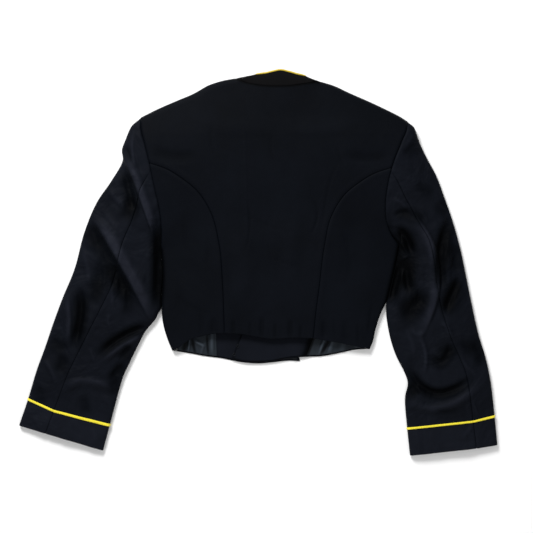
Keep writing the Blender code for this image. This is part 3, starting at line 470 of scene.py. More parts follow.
def feed(node, values):
    """Sets a node's inputs: another node's output is linked to its socket, and a number is written there."""
    for socket, value in values.items():
        if hasattr(value, "is_output"):
            node.id_data.links.new(value, node.inputs[socket])
        else:
            node.inputs[socket].default_value = value
    return node


def new_paint(title, numbers):
    """New material and its shader, with these numbers on the shader's own sockets."""
    paint = bpy.data.materials.new(title)
    paint.use_nodes = True
    return paint, feed(paint.node_tree.nodes["Principled BSDF"], numbers)


def add(paint, kind, **values):
    """New node in a material. A value's name is its socket's, with a low line for each space."""
    node = paint.node_tree.nodes.new("ShaderNode" + kind)
    return feed(node, {name.replace("_", " "): value for name, value in values.items()})


def threads_of(paint):
    """Places on the cloth in metres, along its two ways of thread."""
    threads = add(paint, "UVMap")
    threads.uv_map = "threads"
    return threads.outputs["UV"]


def noise(paint, scale, **values):
    """Noise through the piece's own space."""
    place = add(paint, "TexCoord").outputs["Object"]
    return add(paint, "TexNoise", Vector=place, Scale=scale, **values).outputs["Fac"]


def arithmetic(paint, kind, first, second=0.0):
    """One step of arithmetic on outputs or numbers."""
    step = add(paint, "Math")
    step.operation = kind
    return feed(step, {0: first, 1: second}).outputs[0]


def power_of_shade_and_tone(paint, base):
    """A base to the power of the piece's own painted shade and tone: darker in the hollows, lighter on the
    ridges.
    """
    painted_shade_and_tone = add(paint, "Attribute")
    painted_shade_and_tone.attribute_name = "painted_shade_and_tone"
    return arithmetic(paint, "POWER", base, painted_shade_and_tone.outputs["Fac"])


def shades(paint, source, dark, light, span=(0.0, 1.0)):
    """Colour between a dark and a light shade, as the source goes over the span."""
    tone = add(paint, "ValToRGB", Fac=source)
    for stop, colour, place in zip(tone.color_ramp.elements, (dark, light), span):
        stop.color = (*colour, 1)
        stop.position = place
    return tone.outputs["Color"]


def bumps(paint, *layers):
    """Normals from layers of relief, coarsest first, each with its height, strength and depth in metres."""
    below = {}
    for height, strength, depth in layers:
        relief = add(paint, "Bump", Height=height, Strength=strength, Distance=depth, **below)
        below = {"Normal": relief.outputs["Normal"]}
    return below["Normal"]


WORSTED_COLOUR = np.array([0.0022, 0.0029, 0.0047])
WORSTED_SHADE_AND_TONE_BASES = {"X": 4.6, "Y": 3.9, "Z": 3.6}


def worsted(title, creased):
    """Black worsted: fine twill and creases in the bump, shifts of colour, lint, painted shade and tone, and a
    soft sheen.
    """
    paint, shader = new_paint(title, {
        "Roughness": 0.62,
        "Specular IOR Level": 0.03,
        "Sheen Weight": 0.008,
        "Sheen Roughness": 0.38,
        "Sheen Tint": (0.62, 0.68, 0.80, 1),
    })
    # Twill: ribs at a slant to the threads, broken up along their length.
    turned = add(paint, "Mapping", Vector=threads_of(paint), Rotation=(0, 0, 0.95)).outputs["Vector"]
    ribs = add(paint, "TexWave", Vector=turned, Scale=285.0, Distortion=1.6, Detail=1.0, Detail_Scale=2.0)
    # Hairiness of the wool, unevenness of the pressed cloth, its creases, and its slow shifts of colour.
    nap = noise(paint, 900.0, Detail=3.0)
    press = noise(paint, 34.0, Detail=3.0)
    creases = noise(paint, 15.0, Detail=3.0, Roughness=0.55, Distortion=0.5)
    shift = noise(paint, 9.0, Detail=5.0, Roughness=0.6)
    tone = shades(paint, shift, WORSTED_COLOUR * 0.8, WORSTED_COLOUR * 1.25, (0.32, 0.72))
    # Lint: small pale specks round the points of a cell pattern.
    place = add(paint, "TexCoord").outputs["Object"]
    off_speck = add(paint, "TexVoronoi", Vector=place, Scale=120.0).outputs["Distance"]
    specks = add(paint, "MapRange", Value=off_speck, From_Min=0.02, From_Max=0.05, To_Min=0.5, To_Max=0.0)
    dusted = add(paint, "Mix")
    dusted.data_type = "RGBA"
    feed(dusted, {"Factor": specks.outputs["Result"], "A": tone, "B": (*(WORSTED_COLOUR * 4 + 0.01), 1)})
    # Painted shade and tone: the colour times a base to the power of the piece's attribute, in red, green and
    # blue.
    powers = {axis: power_of_shade_and_tone(paint, base) for axis, base in WORSTED_SHADE_AND_TONE_BASES.items()}
    factors = add(paint, "CombineXYZ", **powers)
    shaded_colour = add(paint, "VectorMath")
    shaded_colour.operation = "MULTIPLY"
    feed(shaded_colour, {0: dusted.outputs["Result"], 1: factors.outputs["Vector"]})
    relief = bumps(
        paint,
        (creases, creased, 0.0100),
        (press, 0.5, 0.0006),
        (nap, 0.35, 0.00012),
        (ribs.outputs["Fac"], 0.5, 0.0001),
    )
    feed(shader, {"Base Color": shaded_colour.outputs["Vector"], "Normal": relief})
    return paint


BLACK_WORSTED = worsted("black worsted", 0.12)
# The share of each armhole's length, from the shoulder down, where the curved seam runs into it.
MEET = {}
for hand in ("left", "right"):
    arm = LINES["armhole", hand]
    MEET[hand] = np.linalg.norm(arm - LINES["princess", hand][-1], axis=1).argmin() / (len(arm) - 1)

# Centre back: its borders run up the curved seams to the armholes, then up the armholes to the shoulders.
SHOULDER_COUNT, NECK_COUNT = 48, 56
borders = {}
for hand in ("left", "right"):
    low = at_shares(LINES["princess", hand], closer(120, 0.55))
    high = at_shares(LINES["armhole", hand], np.linspace(MEET[hand], 0, 34))
    borders[hand] = np.concatenate([low, high[1:]])
shoulder_part, neck_part = closer(SHOULDER_COUNT, 0.3), closer(NECK_COUNT, 0.3)
top = np.concatenate([
    at_shares(LINES["shoulder", "left"], shoulder_part),
    at_shares(LINES["neck"], neck_part)[1:],
    at_shares(LINES["shoulder", "right"], 1 - shoulder_part)[1:],
])
u = run_of(top) / run_of(top)[-1]
run = run_of(borders["left"])
top_pull = np.clip(1 - (run[-1] - run) / 0.30, 0, 1) ** 2
bottom_pull = np.clip(1 - run / 0.12, 0, 1) ** 2
hem_line = at_shares(LINES["hem back", "middle"], u)
shares = np.tile(u, (len(run), 1))
plan = panel(borders["left"], borders["right"], hem_line, top, bottom_pull, top_pull, shares)
skin = np.dstack([plan, back_height(plan)])
normal = normals_of(skin)
neck_start, neck_end = SHOULDER_COUNT - 1, SHOULDER_COUNT + NECK_COUNT - 1
neck_cols = slice(neck_start, neck_end)
draw_back(skin, normal, np.s_[:, 0], np.s_[:, 1])
draw_back(skin, normal, np.s_[:, -1], np.s_[:, -2])
level(skin, normal, np.s_[-1, : neck_start + 1], 1)
level(skin, normal, np.s_[-1, neck_end - 1 :], 1)
draw_back(skin, normal, np.s_[-1, neck_cols], np.s_[-2, neck_cols])
# The back gets painted shade in its fold hollows and painted highlight on its ridges, painted shade towards
# the shoulders, and a painted shadow line where the collar is sewn on.
shade_and_tone = np.maximum(1.8 * fold_shading(plan, BACK_FOLDS, 0.8), -0.22)
shade_and_tone -= 0.25 * ramp(plan[..., 1], 170 * MM, 300 * MM)
by_neck = plan[..., 1] > 300 * MM
off_neck = np.linalg.norm(plan[by_neck][:, None] - LINES["neck"], axis=-1).min(-1)
shade_and_tone[by_neck] -= 1.3 * np.exp(-((off_neck / (1.7 * MM)) ** 2))
back_centre = cloth("cloth_back_centre", skin, normal, CLOTH, BLACK_WORSTED, (0.7, 0, 0, 0), 4, shade_and_tone)
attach(back_centre, "root")
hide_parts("back_centre")

# Side backs, from the hem up to where the curved seam runs into the armhole.
SIDE_ROWS = 70
for hand, area in (("left", 0.036), ("right", 0.041)):
    low = at_shares(LINES["side", hand], closer(SIDE_ROWS, 0.5))
    high = at_shares(LINES["armhole", hand], np.linspace(1, MEET[hand] + 0.006, 60))
    outer = np.concatenate([low, high[1:]])
    share = run_of(outer) / run_of(outer)[-1]
    inner = at_shares(LINES["princess", hand], share * 0.992)
    width = np.linalg.norm(inner - outer, axis=1)
    u = np.concatenate([[0, 0.0025, 0.01, 0.022, 0.038], 0.04 + 0.96 * closer(46, 0.5)[1:]])
    shares = np.tile(u, (len(outer), 1))
    run = share * run_of(LINES["princess", hand])[-1]
    bottom_pull = np.clip(1 - run / 0.12, 0, 1) ** 2
    hem = LINES["hem back", hand]
    hem_line = at_shares(hem if hand == "left" else hem[::-1], u)
    plan = panel(outer, inner, hem_line, hem_line, bottom_pull, 0 * bottom_pull, shares)
    skin = np.dstack([plan, back_height(plan)])
    normal = normals_of(skin)
    level(skin, normal, np.s_[:SIDE_ROWS, 0], 1)
    draw_back(skin, normal, np.s_[SIDE_ROWS - 1 :, 0], np.s_[SIDE_ROWS - 1 :, 1])
    draw_back(skin, normal, np.s_[:, -1], np.s_[:, -2])
    # Painted shade along the side edge above the hem, and painted shade and highlight on the folds.
    off = distance(plan, LINES["side", hand])
    shadowed = np.exp(-((off / (5 * MM)) ** 2)) * ramp(plan[..., 1], -95 * MM, -50 * MM)
    shade_and_tone = np.maximum(fold_shading(plan, BACK_FOLDS) * 0.6 - shadowed, -1)
    piece = cloth(f"cloth_back_side_{hand}", skin, normal, CLOTH, BLACK_WORSTED, (0.7, 0, 0, 0), 4, shade_and_tone)
    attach(piece, "root")
    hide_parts(f"back_side_{hand}")

# Sleeves. Each is cut as a top sleeve, which turns round the outer edge, and an under sleeve, which turns
# round the inner edge. They meet in an elbow seam on the upper face and a front seam beneath. A section
# runs in plan from the outer edge over the elbow seam to the inner edge. The first one follows the armhole,
# and the last is the cuff.
SLEEVE_CLEAR = 0.08 * MM
UNDER_TURN = 24 * MM
LOWEST_TOP = 4.6 * MM
HEAD_REACH = 4.5 * MM
BRAID_LIFT = 1.4 * MM
NOTCH = {"left": -93, "right": -81}
BRAID_SHARE = {"left": 0.92, "right": 0.94}
SLEEVE_COLUMNS = ("share", "outer_x", "outer_y", "seam_x", "seam_y", "inner_x", "inner_y", "edge", "rise")
SLEEVES = {
    "left": [
        (0.00, -210, 260, -193, 165, -173, 62, 9.0, 12),
        (0.06, -229, 235, -202, 147, -174, 35, 7.5, 14),
        (0.12, -244, 204, -211, 127, -175, 8, 6.5, 15),
        (0.17, -243, 183, -216, 105, -175, -14, 6.0, 15),
        (0.24, -263, 147, -226, 73, -176, -37, 5.5, 14),
        (0.32, -290, 107, -240, 41, -177, -60, 5.0, 13),
        (0.40, -311, 57, -249, 8, -178, -80, 5.0, 12),
        (0.50, -329, -10, -262, -41, -183, -100, 5.0, 11),
        (0.60, -351, -64, -284, -87, -203, -125, 5.0, 10),
        (0.68, -367, -107, -301, -120, -216, -150, 5.0, 9),
        (0.76, -383, -154, -320, -158, -230, -179, 5.0, 8),
        (0.84, -398, -195, -342, -203, -245, -214, 5.0, 7),
        (0.92, -413, -245, -366, -266, -266, -292, 4.5, 5),
        (1.00, -429, -292, -381, -306, -278, -337, 4.5, 4),
    ],
    "right": [
        (0.00, 268, 253, 238, 163, 230, 78, 9.0, 12),
        (0.07, 283, 231, 250, 143, 239, 55, 7.5, 14),
        (0.13, 293, 208, 262, 118, 252, 36, 6.5, 15),
        (0.20, 304, 186, 276, 92, 255, 14, 6.0, 15),
        (0.27, 320, 156, 290, 67, 248, -10, 5.5, 14),
        (0.35, 335, 116, 306, 38, 242, -34, 5.0, 13),
        (0.43, 349, 76, 315, 1, 236, -59, 5.0, 12),
        (0.51, 362, 30, 320, -38, 230, -86, 5.0, 11),
        (0.59, 373, -21, 328, -80, 236, -129, 5.0, 10),
        (0.67, 383, -71, 344, -131, 247, -165, 5.0, 9),
        (0.75, 396, -129, 362, -172, 263, -197, 5.0, 8),
        (0.82, 409, -172, 374, -204, 269, -219, 5.0, 7),
        (0.88, 418, -215, 380, -238, 264, -247, 5.0, 6),
        (0.94, 425, -276, 386, -285, 268, -298, 4.5, 5),
        (1.00, 430, -327, 392, -333, 273, -346, 4.5, 4),
    ],
}
# The large folds come first, in the same columns as the back's, then the small ones that cross or join them.
SLEEVE_FOLDS = {
    "left": [
        (-241, 194, -212, 126, -182, 36, 7.0, 22, 6),
        (-240, 172, -228, 124, -216, 74, -4.0, 9, 10),
        (-183, 76, -179, 0, -184, -84, -6.0, 9, 9),
        (-300, 90, -243, -4, -187, -110, 8.0, 32, 8),
        (-298, 66, -262, 0, -210, -92, -3.5, 9, 14),
        (-326, -42, -316, -84, -331, -158, -6.0, 9, 10),
        (-344, -54, -338, -98, -340, -150, 3.5, 8, 12),
        (-288, -172, -248, -136, -190, -112, -6.0, 9, 7),
        (-284, -180, -240, -148, -202, -130, 4.0, 6, 10),
        (-248, -176, -236, -160, -226, -146, -3.5, 8, 9),
        (-354, -222, -306, -209, -254, -226, 4.0, 5, 18),
        (-268, -214, -250, -192, -236, -178, -3.5, 8, 9),
        (-384, -172, -370, -194, -360, -220, 2.5, 9, 7),
        (-352, -160, -350, -176, -356, -200, -2.5, 10, 10),
        (-222, 238, -224, 198, -216, 168, 2.6, 6, 7),
        (-234, 212, -232, 196, -224, 176, -1.6, 5, 5),
        (-268, 132, -250, 110, -234, 98, 2.0, 9, 9),
        (-276, 92, -262, 74, -246, 60, 1.8, 9, 8),
        (-318, 34, -306, -6, -300, -48, 1.8, 8, 9),
        (-290, 8, -282, -26, -284, -72, -2.0, 8, 9),
        (-272, -20, -262, -50, -260, -92, 1.6, 7, 7),
        (-236, -30, -232, -60, -238, -100, -2.0, 6, 7),
        (-302, -150, -296, -166, -292, -184, 1.6, 4, 5),
        (-262, -120, -268, -104, -262, -92, 1.6, 7, 7),
        (-309, -236, -309, -258, -306, -274, -1.8, 7, 8),
        (-282, -232, -272, -244, -262, -262, 1.0, 8, 8),
        (-396, -214, -392, -236, -384, -258, -1.2, 8, 8),
        (-300, -292, -294, -306, -290, -322, 0.8, 9, 8),
        (-402, -272, -396, -284, -388, -298, 0.8, 9, 8),
        (-300, 72, -293, 48, -282, 20, -2.4, 12, 12),
        (-236, 118, -230, 98, -238, 72, -2.6, 12, 12),
        (-266, 0, -262, -26, -268, -58, -2.6, 11, 12),
        (-246, -20, -244, -44, -248, -70, -2.4, 8, 8),
        (-296, -20, -291, -42, -294, -80, -2.4, 10, 10),
        (-374, -136, -356, -148, -340, -160, -2.4, 11, 12),
        (-262, -206, -257, -222, -256, -240, -2.4, 9, 9),
    ],
    "right": [
        (270, 92, 322, -14, 286, -142, 7.0, 7, 26),
        (244, 60, 262, 48, 274, 18, -6.5, 8, 9),
        (262, 8, 265, -20, 272, -58, -7.0, 10, 9),
        (262, 10, 249, -30, 238, -74, -7.0, 8, 10),
        (347, 84, 325, 22, 326, -58, -6.5, 14, 8),
        (362, -22, 346, -60, 332, -96, -5.0, 8, 9),
        (348, 20, 340, -20, 346, -50, 2.5, 8, 8),
        (252, -62, 276, -78, 298, -46, -2.5, 12, 12),
        (268, -184, 316, -232, 384, -204, -6.0, 7, 9),
        (268, -246, 334, -256, 408, -206, 4.0, 8, 16),
        (311, -158, 328, -178, 348, -144, -3.5, 8, 9),
        (288, -130, 300, -168, 294, -204, 3.2, 8, 8),
        (362, -138, 376, -152, 392, -160, -2.2, 8, 9),
        (247, 46, 261, 27, 273, 10, 3.4, 4, 4),
        (256, 4, 264, 9, 272, 10, 2.2, 3, 4),
        (238, 112, 254, 108, 268, 94, 2.4, 5, 8),
        (242, 82, 256, 90, 272, 88, -2.4, 5, 7),
        (258, 190, 272, 204, 286, 212, -1.8, 6, 7),
        (262, 208, 276, 226, 282, 232, 1.6, 6, 7),
        (292, 196, 300, 178, 310, 160, 1.2, 8, 8),
        (288, 146, 300, 128, 318, 122, -1.6, 8, 9),
        (322, 108, 332, 96, 344, 92, 1.4, 7, 7),
        (288, 92, 296, 84, 304, 70, 1.5, 6, 7),
        (376, -40, 384, -76, 390, -112, 1.5, 8, 8),
        (364, -172, 378, -190, 396, -204, 1.6, 7, 8),
        (262, -118, 274, -140, 280, -170, 1.6, 8, 9),
        (272, -218, 281, -228, 286, -240, -2.6, 6, 7),
        (318, -258, 336, -270, 372, -262, -1.2, 7, 8),
        (384, -250, 390, -262, 396, -276, 1.4, 4, 5),
        (386, -286, 378, -300, 366, -318, 1.0, 7, 7),
        (258, 58, 272, 30, 272, -34, -3.5, 10, 12),
        (356, 40, 352, 8, 360, -24, -2.6, 10, 11),
        (366, -30, 348, -62, 330, -92, -3.0, 15, 15),
        (246, -100, 274, -88, 300, -46, -3.4, 18, 14),
        (318, -164, 336, -158, 350, -146, -2.4, 11, 11),
        (384, -130, 394, -156, 404, -190, -2.4, 10, 10),
        (250, 92, 280, 82, 306, 76, -2.4, 10, 9),
        (322, 112, 334, 98, 346, 90, -2.4, 12, 12),
        (262, -214, 272, -232, 282, -246, -2.6, 9, 9),
        (272, -116, 286, -128, 302, -120, 2.0, 7, 8),
        (330, -104, 340, -122, 346, -136, 2.0, 8, 8),
    ],
}


def column_of(table, name, at):
    """One column of a sleeve table, read at shares of the length on a smooth curve, in metres."""
    rows = np.array(table, float)
    return flow(at, rows[:, 0], rows[:, SLEEVE_COLUMNS.index(name)] * MM)


def beside(hand, places):
    """How far each place is outside the armhole and the side, and the plan vector that leads away."""
    bound = np.concatenate([LINES["armhole", hand], LINES["side", hand][::-1][1:]])[::3]
    flat = places.reshape(-1, 2)
    nearest = np.concatenate([
        np.linalg.norm(flat[k : k + 4000, None] - bound, axis=-1).argmin(-1) for k in range(0, len(flat), 4000)
    ])
    along = bound[np.minimum(nearest + 1, len(bound) - 1)] - bound[np.maximum(nearest - 1, 0)]
    outwards = np.stack([along[:, 1], -along[:, 0]], axis=-1) * (1 if hand == "left" else -1)
    outwards /= np.linalg.norm(outwards, axis=-1, keepdims=True)
    off = ((flat - bound[nearest]) * outwards).sum(-1)
    return off.reshape(places.shape[:-1]), outwards.reshape(places.shape)


def sleeve_frame(hand, share):
    """Outer edge, elbow seam and inner edge of the sections at these shares of the sleeve's length."""
    outer, elbow, inner = (
        np.stack([column_of(SLEEVES[hand], f"{part}_{axis}", share) for axis in "xy"], axis=-1)
        for part in ("outer", "seam", "inner")
    )
    # The sleeve head stands out a little just past the shoulder.
    head = outer - inner
    head /= np.linalg.norm(head, axis=1, keepdims=True)
    outer = outer + head * (HEAD_REACH * np.sin(np.pi * np.clip(share / 0.10, 0, 1)) ** 2)[:, None]
    off, outwards = beside(hand, inner)
    follow = ramp(inner[:, 1], NOTCH[hand] * MM - 2 * MM, NOTCH[hand] * MM + 14 * MM)
    corner = np.exp(-(np.linalg.norm(inner - LINES["side", hand][-1], axis=1) / (14 * MM)) ** 2)
    room = SLEEVE_CLEAR * (1 + corner)
    move = follow * (room * ramp(share, -0.01, 0.03) - off) * (share > 0)
    return outer, elbow, inner + outwards * move[:, None]


def sleeve_grid(hand, share, reach, lower):
    """Outer face of a sleeve over a grid: share of the length by rows, reach from the outer edge by columns.

    The upper face has rolled edges at both ends, a swell between them, and the folds. The lower face has
    tucked edges and is flat between them, apart from slack.
    """
    outer, elbow, inner = sleeve_frame(hand, share)
    first = np.linalg.norm(elbow - outer, axis=1)[:, None]
    second = np.linalg.norm(inner - elbow, axis=1)[:, None]
    start, bend, end = (point[0] for point in sleeve_frame(hand, np.array([0.0])))
    arm = LINES["armhole", hand]
    split, pit = (np.linalg.norm(arm - point, axis=1).argmin() / (len(arm) - 1) for point in (bend, end))
    part = np.where(reach < first, reach / first, (reach - first) / second)[..., None]
    above = (reach < first)[..., None]
    outer, elbow, inner = outer[:, None], elbow[:, None], inner[:, None]
    place = np.where(above, outer + (elbow - outer) * part, elbow + (inner - elbow) * part)
    straight = np.where(above, start + (bend - start) * part, bend + (end - bend) * part)
    along = np.where(above[..., 0], split * part[..., 0], split + (pit - split) * part[..., 0])
    at_arm = at_shares(arm, along)
    pull = (1 - ramp(share, 0, 0.16)) ** 1.5
    place = place + (at_arm - straight) * pull[:, None, None]
    off, outwards = beside(hand, place)
    least = np.minimum(SLEEVE_CLEAR, 60 * MM * share)[:, None]
    place = place + outwards * (np.maximum(least - off, 0) * (share > 0)[:, None])[..., None]
    whole = first + second
    outer_gap, inner_gap = np.maximum(reach, 0), np.maximum(whole - reach, 0)
    radius = column_of(SLEEVES[hand], "edge", share)[:, None]
    near = np.minimum(outer_gap, inner_gap)
    if lower:
        by_braid = 1 - ramp(abs(share - BRAID_SHARE[hand]), 0.008, 0.034)
        lift = BRAID_LIFT * by_braid[:, None] * ramp(near, 0, SIDE_EDGE)
        ease = ramp(near, 6 * MM, 20 * MM) * ramp(share, 0.02, 0.08)[:, None]
        slack = 0.35 * np.maximum(fold_height(place, SLEEVE_FOLDS[hand]), 0)
        lift += (slack + abs(drape(place, 50 * MM, 1.2 * MM, 17))) * ease
        return np.dstack([place, tucked(outer_gap, radius) + tucked(inner_gap, SIDE_EDGE) + lift])
    blend = radius + (SIDE_EDGE - radius) * reach / whole
    height = 2 * blend * rolled(outer_gap, radius) / (2 * radius)
    height = height * rolled(inner_gap, SIDE_EDGE) / (2 * SIDE_EDGE)
    swell = (1 - np.exp(-outer_gap / (34 * MM))) * (1 - np.exp(-inner_gap / (34 * MM)))
    fade = ramp(near, 0, 7 * MM) * ramp(share, 0, 0.03)[:, None]
    height += column_of(SLEEVES[hand], "rise", share)[:, None] * swell
    unevenness = drape(place, 60 * MM, 1.6 * MM, 7) + drape(place, 22 * MM, 0.9 * MM, 5)
    height += (fold_height(place, SLEEVE_FOLDS[hand]) + unevenness) * fade
    off_seam = abs(reach - first)
    height += (allowance(off_seam) - groove(off_seam, SEAM_DEPTH, SEAM_REACH)) * fade
    height = np.maximum(height, np.minimum(LOWEST_TOP, rolled(near, SIDE_EDGE)))
    at_seam = back_height(at_arm, fine=False)
    height = at_seam + (height - at_seam) * ramp(share, 0, 0.10)[:, None]
    off, _ = beside(hand, place)
    arm_seam = groove(np.maximum(off, 0), ARM_SEAM_DEPTH, 1.5 * MM) * (1 - ramp(share, 0.02, 0.08))[:, None]
    return np.dstack([place, height - arm_seam])


def sleeve_skin(hand, part, share):
    """Whole outer face of a top or under sleeve, from the elbow seam round its edge to the front seam."""
    outer, elbow, inner = sleeve_frame(hand, share)
    first = np.linalg.norm(elbow - outer, axis=1)[:, None]
    whole = first + np.linalg.norm(inner - elbow, axis=1)[:, None]
    turn = 1 - np.cos(np.linspace(np.pi / 2, 0, 9))
    fine = closer(62, 0.4)[::-1]
    if part == "top":
        radius = column_of(SLEEVES[hand], "edge", share)[:, None]
        upper = radius + (first - radius) * fine
        beyond = whole - UNDER_TURN
    else:
        radius = np.full((len(share), 1), SIDE_EDGE)
        upper = radius + (whole - first - radius) * fine
        beyond = np.full_like(whole, UNDER_TURN)
    upper = np.concatenate([upper[:, :-1], radius * turn], axis=1)
    flat = radius + (beyond - radius) * np.linspace(0, 1, 18)[1:]
    under = np.concatenate([radius * turn[::-1][1:], flat], axis=1)
    if part == "under":
        upper, under = whole - upper, whole - under
    faces = [sleeve_grid(hand, share, upper, False), sleeve_grid(hand, share, under, True)]
    return np.concatenate(faces, axis=1)


# Braid. A flat yellow braid 3.6 mm wide goes round each cuff, in one length on the top sleeve and one on
# the under sleeve, whose ends are caught in the seams. It is woven in a fine herringbone and sewn down
# along both edges.
BRAID_WIDE = 3.6 * MM
BRAID_THICK = 0.9 * MM
BRAID_PITCH = 1.1 * MM


def braid_paint():
    """Yellow braid: plaited ribs at a slant that turns over along the middle, with painted shade in the
    valleys.
    """
    numbers = {"Roughness": 0.62, "Specular IOR Level": 0.3, "Sheen Weight": 0.15}
    paint, shader = new_paint("yellow braid", numbers)
    parts = add(paint, "SeparateXYZ", Vector=threads_of(paint))
    off_middle = arithmetic(paint, "SUBTRACT", parts.outputs["Y"], BRAID_WIDE / 2)
    off_middle = arithmetic(paint, "ABSOLUTE", off_middle)
    slanted = arithmetic(paint, "ADD", parts.outputs["X"], arithmetic(paint, "MULTIPLY", off_middle, 0.9))
    rib = arithmetic(paint, "SINE", arithmetic(paint, "MULTIPLY", slanted, 2 * np.pi / BRAID_PITCH))
    share = arithmetic(paint, "ADD", arithmetic(paint, "MULTIPLY", rib, 0.5), 0.5)
    # Painted shade: darker where the rib is low.
    tone = shades(paint, share, (0.84, 0.66, 0.012), (0.98, 0.88, 0.055))
    feed(shader, {"Base Color": tone, "Normal": bumps(paint, (rib, 0.6, 0.0003))})
    return paint


YELLOW_BRAID = braid_paint()
CREASED_WORSTED = worsted("black worsted creased in wear", 1.0)
# Each sleeve's tone where no fold is near, and a column of the grid that faces upwards.
SLEEVE_TONE = {"left": 0.36, "right": 0.33}
UPPER_COLUMN = np.s_[:, 20]
for hand in ("left", "right"):
    middle = BRAID_SHARE[hand]
    # Half the braid's width as a share: the sleeve is steeper on one hand and longer on the other.
    half = BRAID_WIDE / 2 / (0.58 if hand == "left" else 0.78)
    share = np.concatenate([
        [0, 0.0012, 0.003, 0.0055, 0.009, 0.013],
        np.linspace(0.017, middle - 0.04, 190),
        np.linspace(middle - 0.036, middle + 0.036, 30),
        np.linspace(middle + 0.04, 1, 22),
    ])
    for part in ("top", "under"):
        skin = sleeve_skin(hand, part, share)
        normal = normals_of(skin, UPPER_COLUMN)
        draw_back(skin, normal, np.s_[0, :], np.s_[1, :])
        draw_back(skin, normal, np.s_[:, 0], np.s_[:, 1])
        draw_back(skin, normal, np.s_[:, -1], np.s_[:, -2])
        plan = skin[..., :2]
        off, _ = beside(hand, plan)
        cuff = 0.25 * ramp(share, middle, middle + 0.01)[:, None]
        # Painted shade where the sleeve lies against the side of the body, painted shade and highlight on the
        # folds, and a lighter tone past the braid.
        height = plan[..., 1]
        by_side = ramp(height, NOTCH[hand] * MM, (NOTCH[hand] + 40) * MM)
        by_side *= 1 - ramp(height, 20 * MM, 90 * MM)
        shadowed = np.exp(-((np.maximum(off, 0) / (9 * MM)) ** 2)) * by_side
        sleeve_fold_shade = np.minimum(1.65 * fold_shading(plan, SLEEVE_FOLDS[hand], 2.0), 0.6)
        shade_and_tone = np.maximum(SLEEVE_TONE[hand] + cuff + sleeve_fold_shade - 1.3 * shadowed, -1.3)
        title = f"cloth_sleeve_{part}_{hand}"
        sleeve = cloth(title, skin, normal, CLOTH, CREASED_WORSTED, (0, 0, 0.7, 0), 4, shade_and_tone)
        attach(sleeve, "root")
        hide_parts(f"sleeve_{part}_{hand}")
        # The braid's own grid is the sleeve's face at seven shares, moved out, its edges rolled down to the
        # cloth.
        across = np.linspace(-1, 1, 7)
        ribbon = sleeve_skin(hand, part, middle + half * across)
        out = normals_of(ribbon, UPPER_COLUMN)
        crown = (0.25 + 0.75 * np.sqrt(1 - 0.97 * across**2))[:, None, None]
        ribbon = ribbon + out * (GAP + BRAID_THICK * crown)
        draw_back(ribbon, out, np.s_[:, 0], np.s_[:, 1])
        draw_back(ribbon, out, np.s_[:, -1], np.s_[:, -2])
        title = f"ribbon_{part}_{hand}"
        braid = cloth(title, ribbon, out * crown, BRAID_THICK, YELLOW_BRAID, steps=2)
        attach(braid, "root")
        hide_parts(f"braid_{part}_{hand}")

# Fronts. They lie beneath, outer face down, and meet the back at the middle of its rolled edges. The
# wearer's right front laps over the left one from above, because the jacket is turned over, and rides up
# where it crosses it.
LAP_LIFT = 3.5 * MM
LAP_RAMP = (3 * MM, 30 * MM)
NECK_FRONT = {
    "left": [(-41, 330), (-36, 306), (-19, 274), (5, 256), (38, 250)],
    "right": [(113, 324), (108, 302), (93, 272), (71, 255), (42, 250)],
}
HEM_FRONT = {
    "left": [
        (-154, -158), (-122, -163), (-94, -168), (-70, -171), (-27, -179),
        (0, -181), (25, -179), (58, -176), (75, -177),
    ],
    "right": [
        (201, -155), (178, -156), (148, -162), (114, -168), (85, -169),
        (58, -171), (25, -177), (0, -179), (-27, -178), (-47, -173),
    ],
}
FRONT_EDGE = {
    "left": [(75, -177), (68, -150), (58, -100), (44, -20), (38, 60), (37, 150), (38, 250)],
    "right": [(-47, -173), (-32, -137), (-4, -80), (24, -20), (41, 60), (42, 150), (42, 250)],
}
# Creases of the hidden side, in the same columns as the back's.
FRONT_FOLDS = {
    "left": [
        (-190, 196, -126, 158, -58, 170, 2.4, 9, 12),
        (-160, 66, -112, 20, -48, -8, 2.8, 11, 9),
        (-166, 10, -138, -20, -96, -44, 2.0, 8, 8),
        (-110, 280, -96, 232, -70, 190, 2.0, 9, 9),
        (-20, 120, -34, 70, -28, 10, 1.6, 8, 10),
    ],
    "right": [
        (244, 198, 176, 160, 108, 176, 2.6, 12, 9),
        (218, 66, 168, 26, 106, -2, 2.6, 9, 11),
        (226, 0, 196, -24, 150, -46, 2.0, 8, 8),
        (176, 276, 160, 226, 138, 184, 1.8, 9, 9),
        (100, 124, 112, 66, 104, 6, 1.6, 10, 8),
    ],
}
for hand in ("left", "right"):
    for title, table in (("neck front", NECK_FRONT), ("hem front", HEM_FRONT), ("front edge", FRONT_EDGE)):
        LINES[title, hand] = line_of(table[hand])


def front_lift(places, hand):
    """The right front rides up where it laps over the left one."""
    if hand == "left":
        return np.zeros(places.shape[:-1])
    under = LINES["front edge", "left"]
    edge = np.interp(places[..., 1], under[:, 1], under[:, 0])
    over = 1 - ramp(places[..., 0], edge + LAP_RAMP[0], edge + LAP_RAMP[1])
    return LAP_LIFT * over * (1 - ramp(places[..., 1], 40 * MM, 95 * MM))


def front_height(places, hand):
    """Outer face of a front, which lies on the floor apart from the lap, the rolled edges and the slack."""
    gap = np.minimum(*edge_gaps(places))
    edges = np.minimum(*(distance(places, LINES["front edge", side]) for side in ("left", "right")))
    ease = ramp(gap, 8 * MM, 26 * MM) * ramp(edges, 16 * MM, 44 * MM)
    ease = ease * ramp(places[..., 1], -60 * MM, -10 * MM)
    slack = np.maximum(fold_height(places, FRONT_FOLDS[hand]), 0) + abs(drape(places, 80 * MM, 2.4 * MM, 31))
    return tucked(gap, body_edge(places)) + front_lift(places, hand) + slack * ease


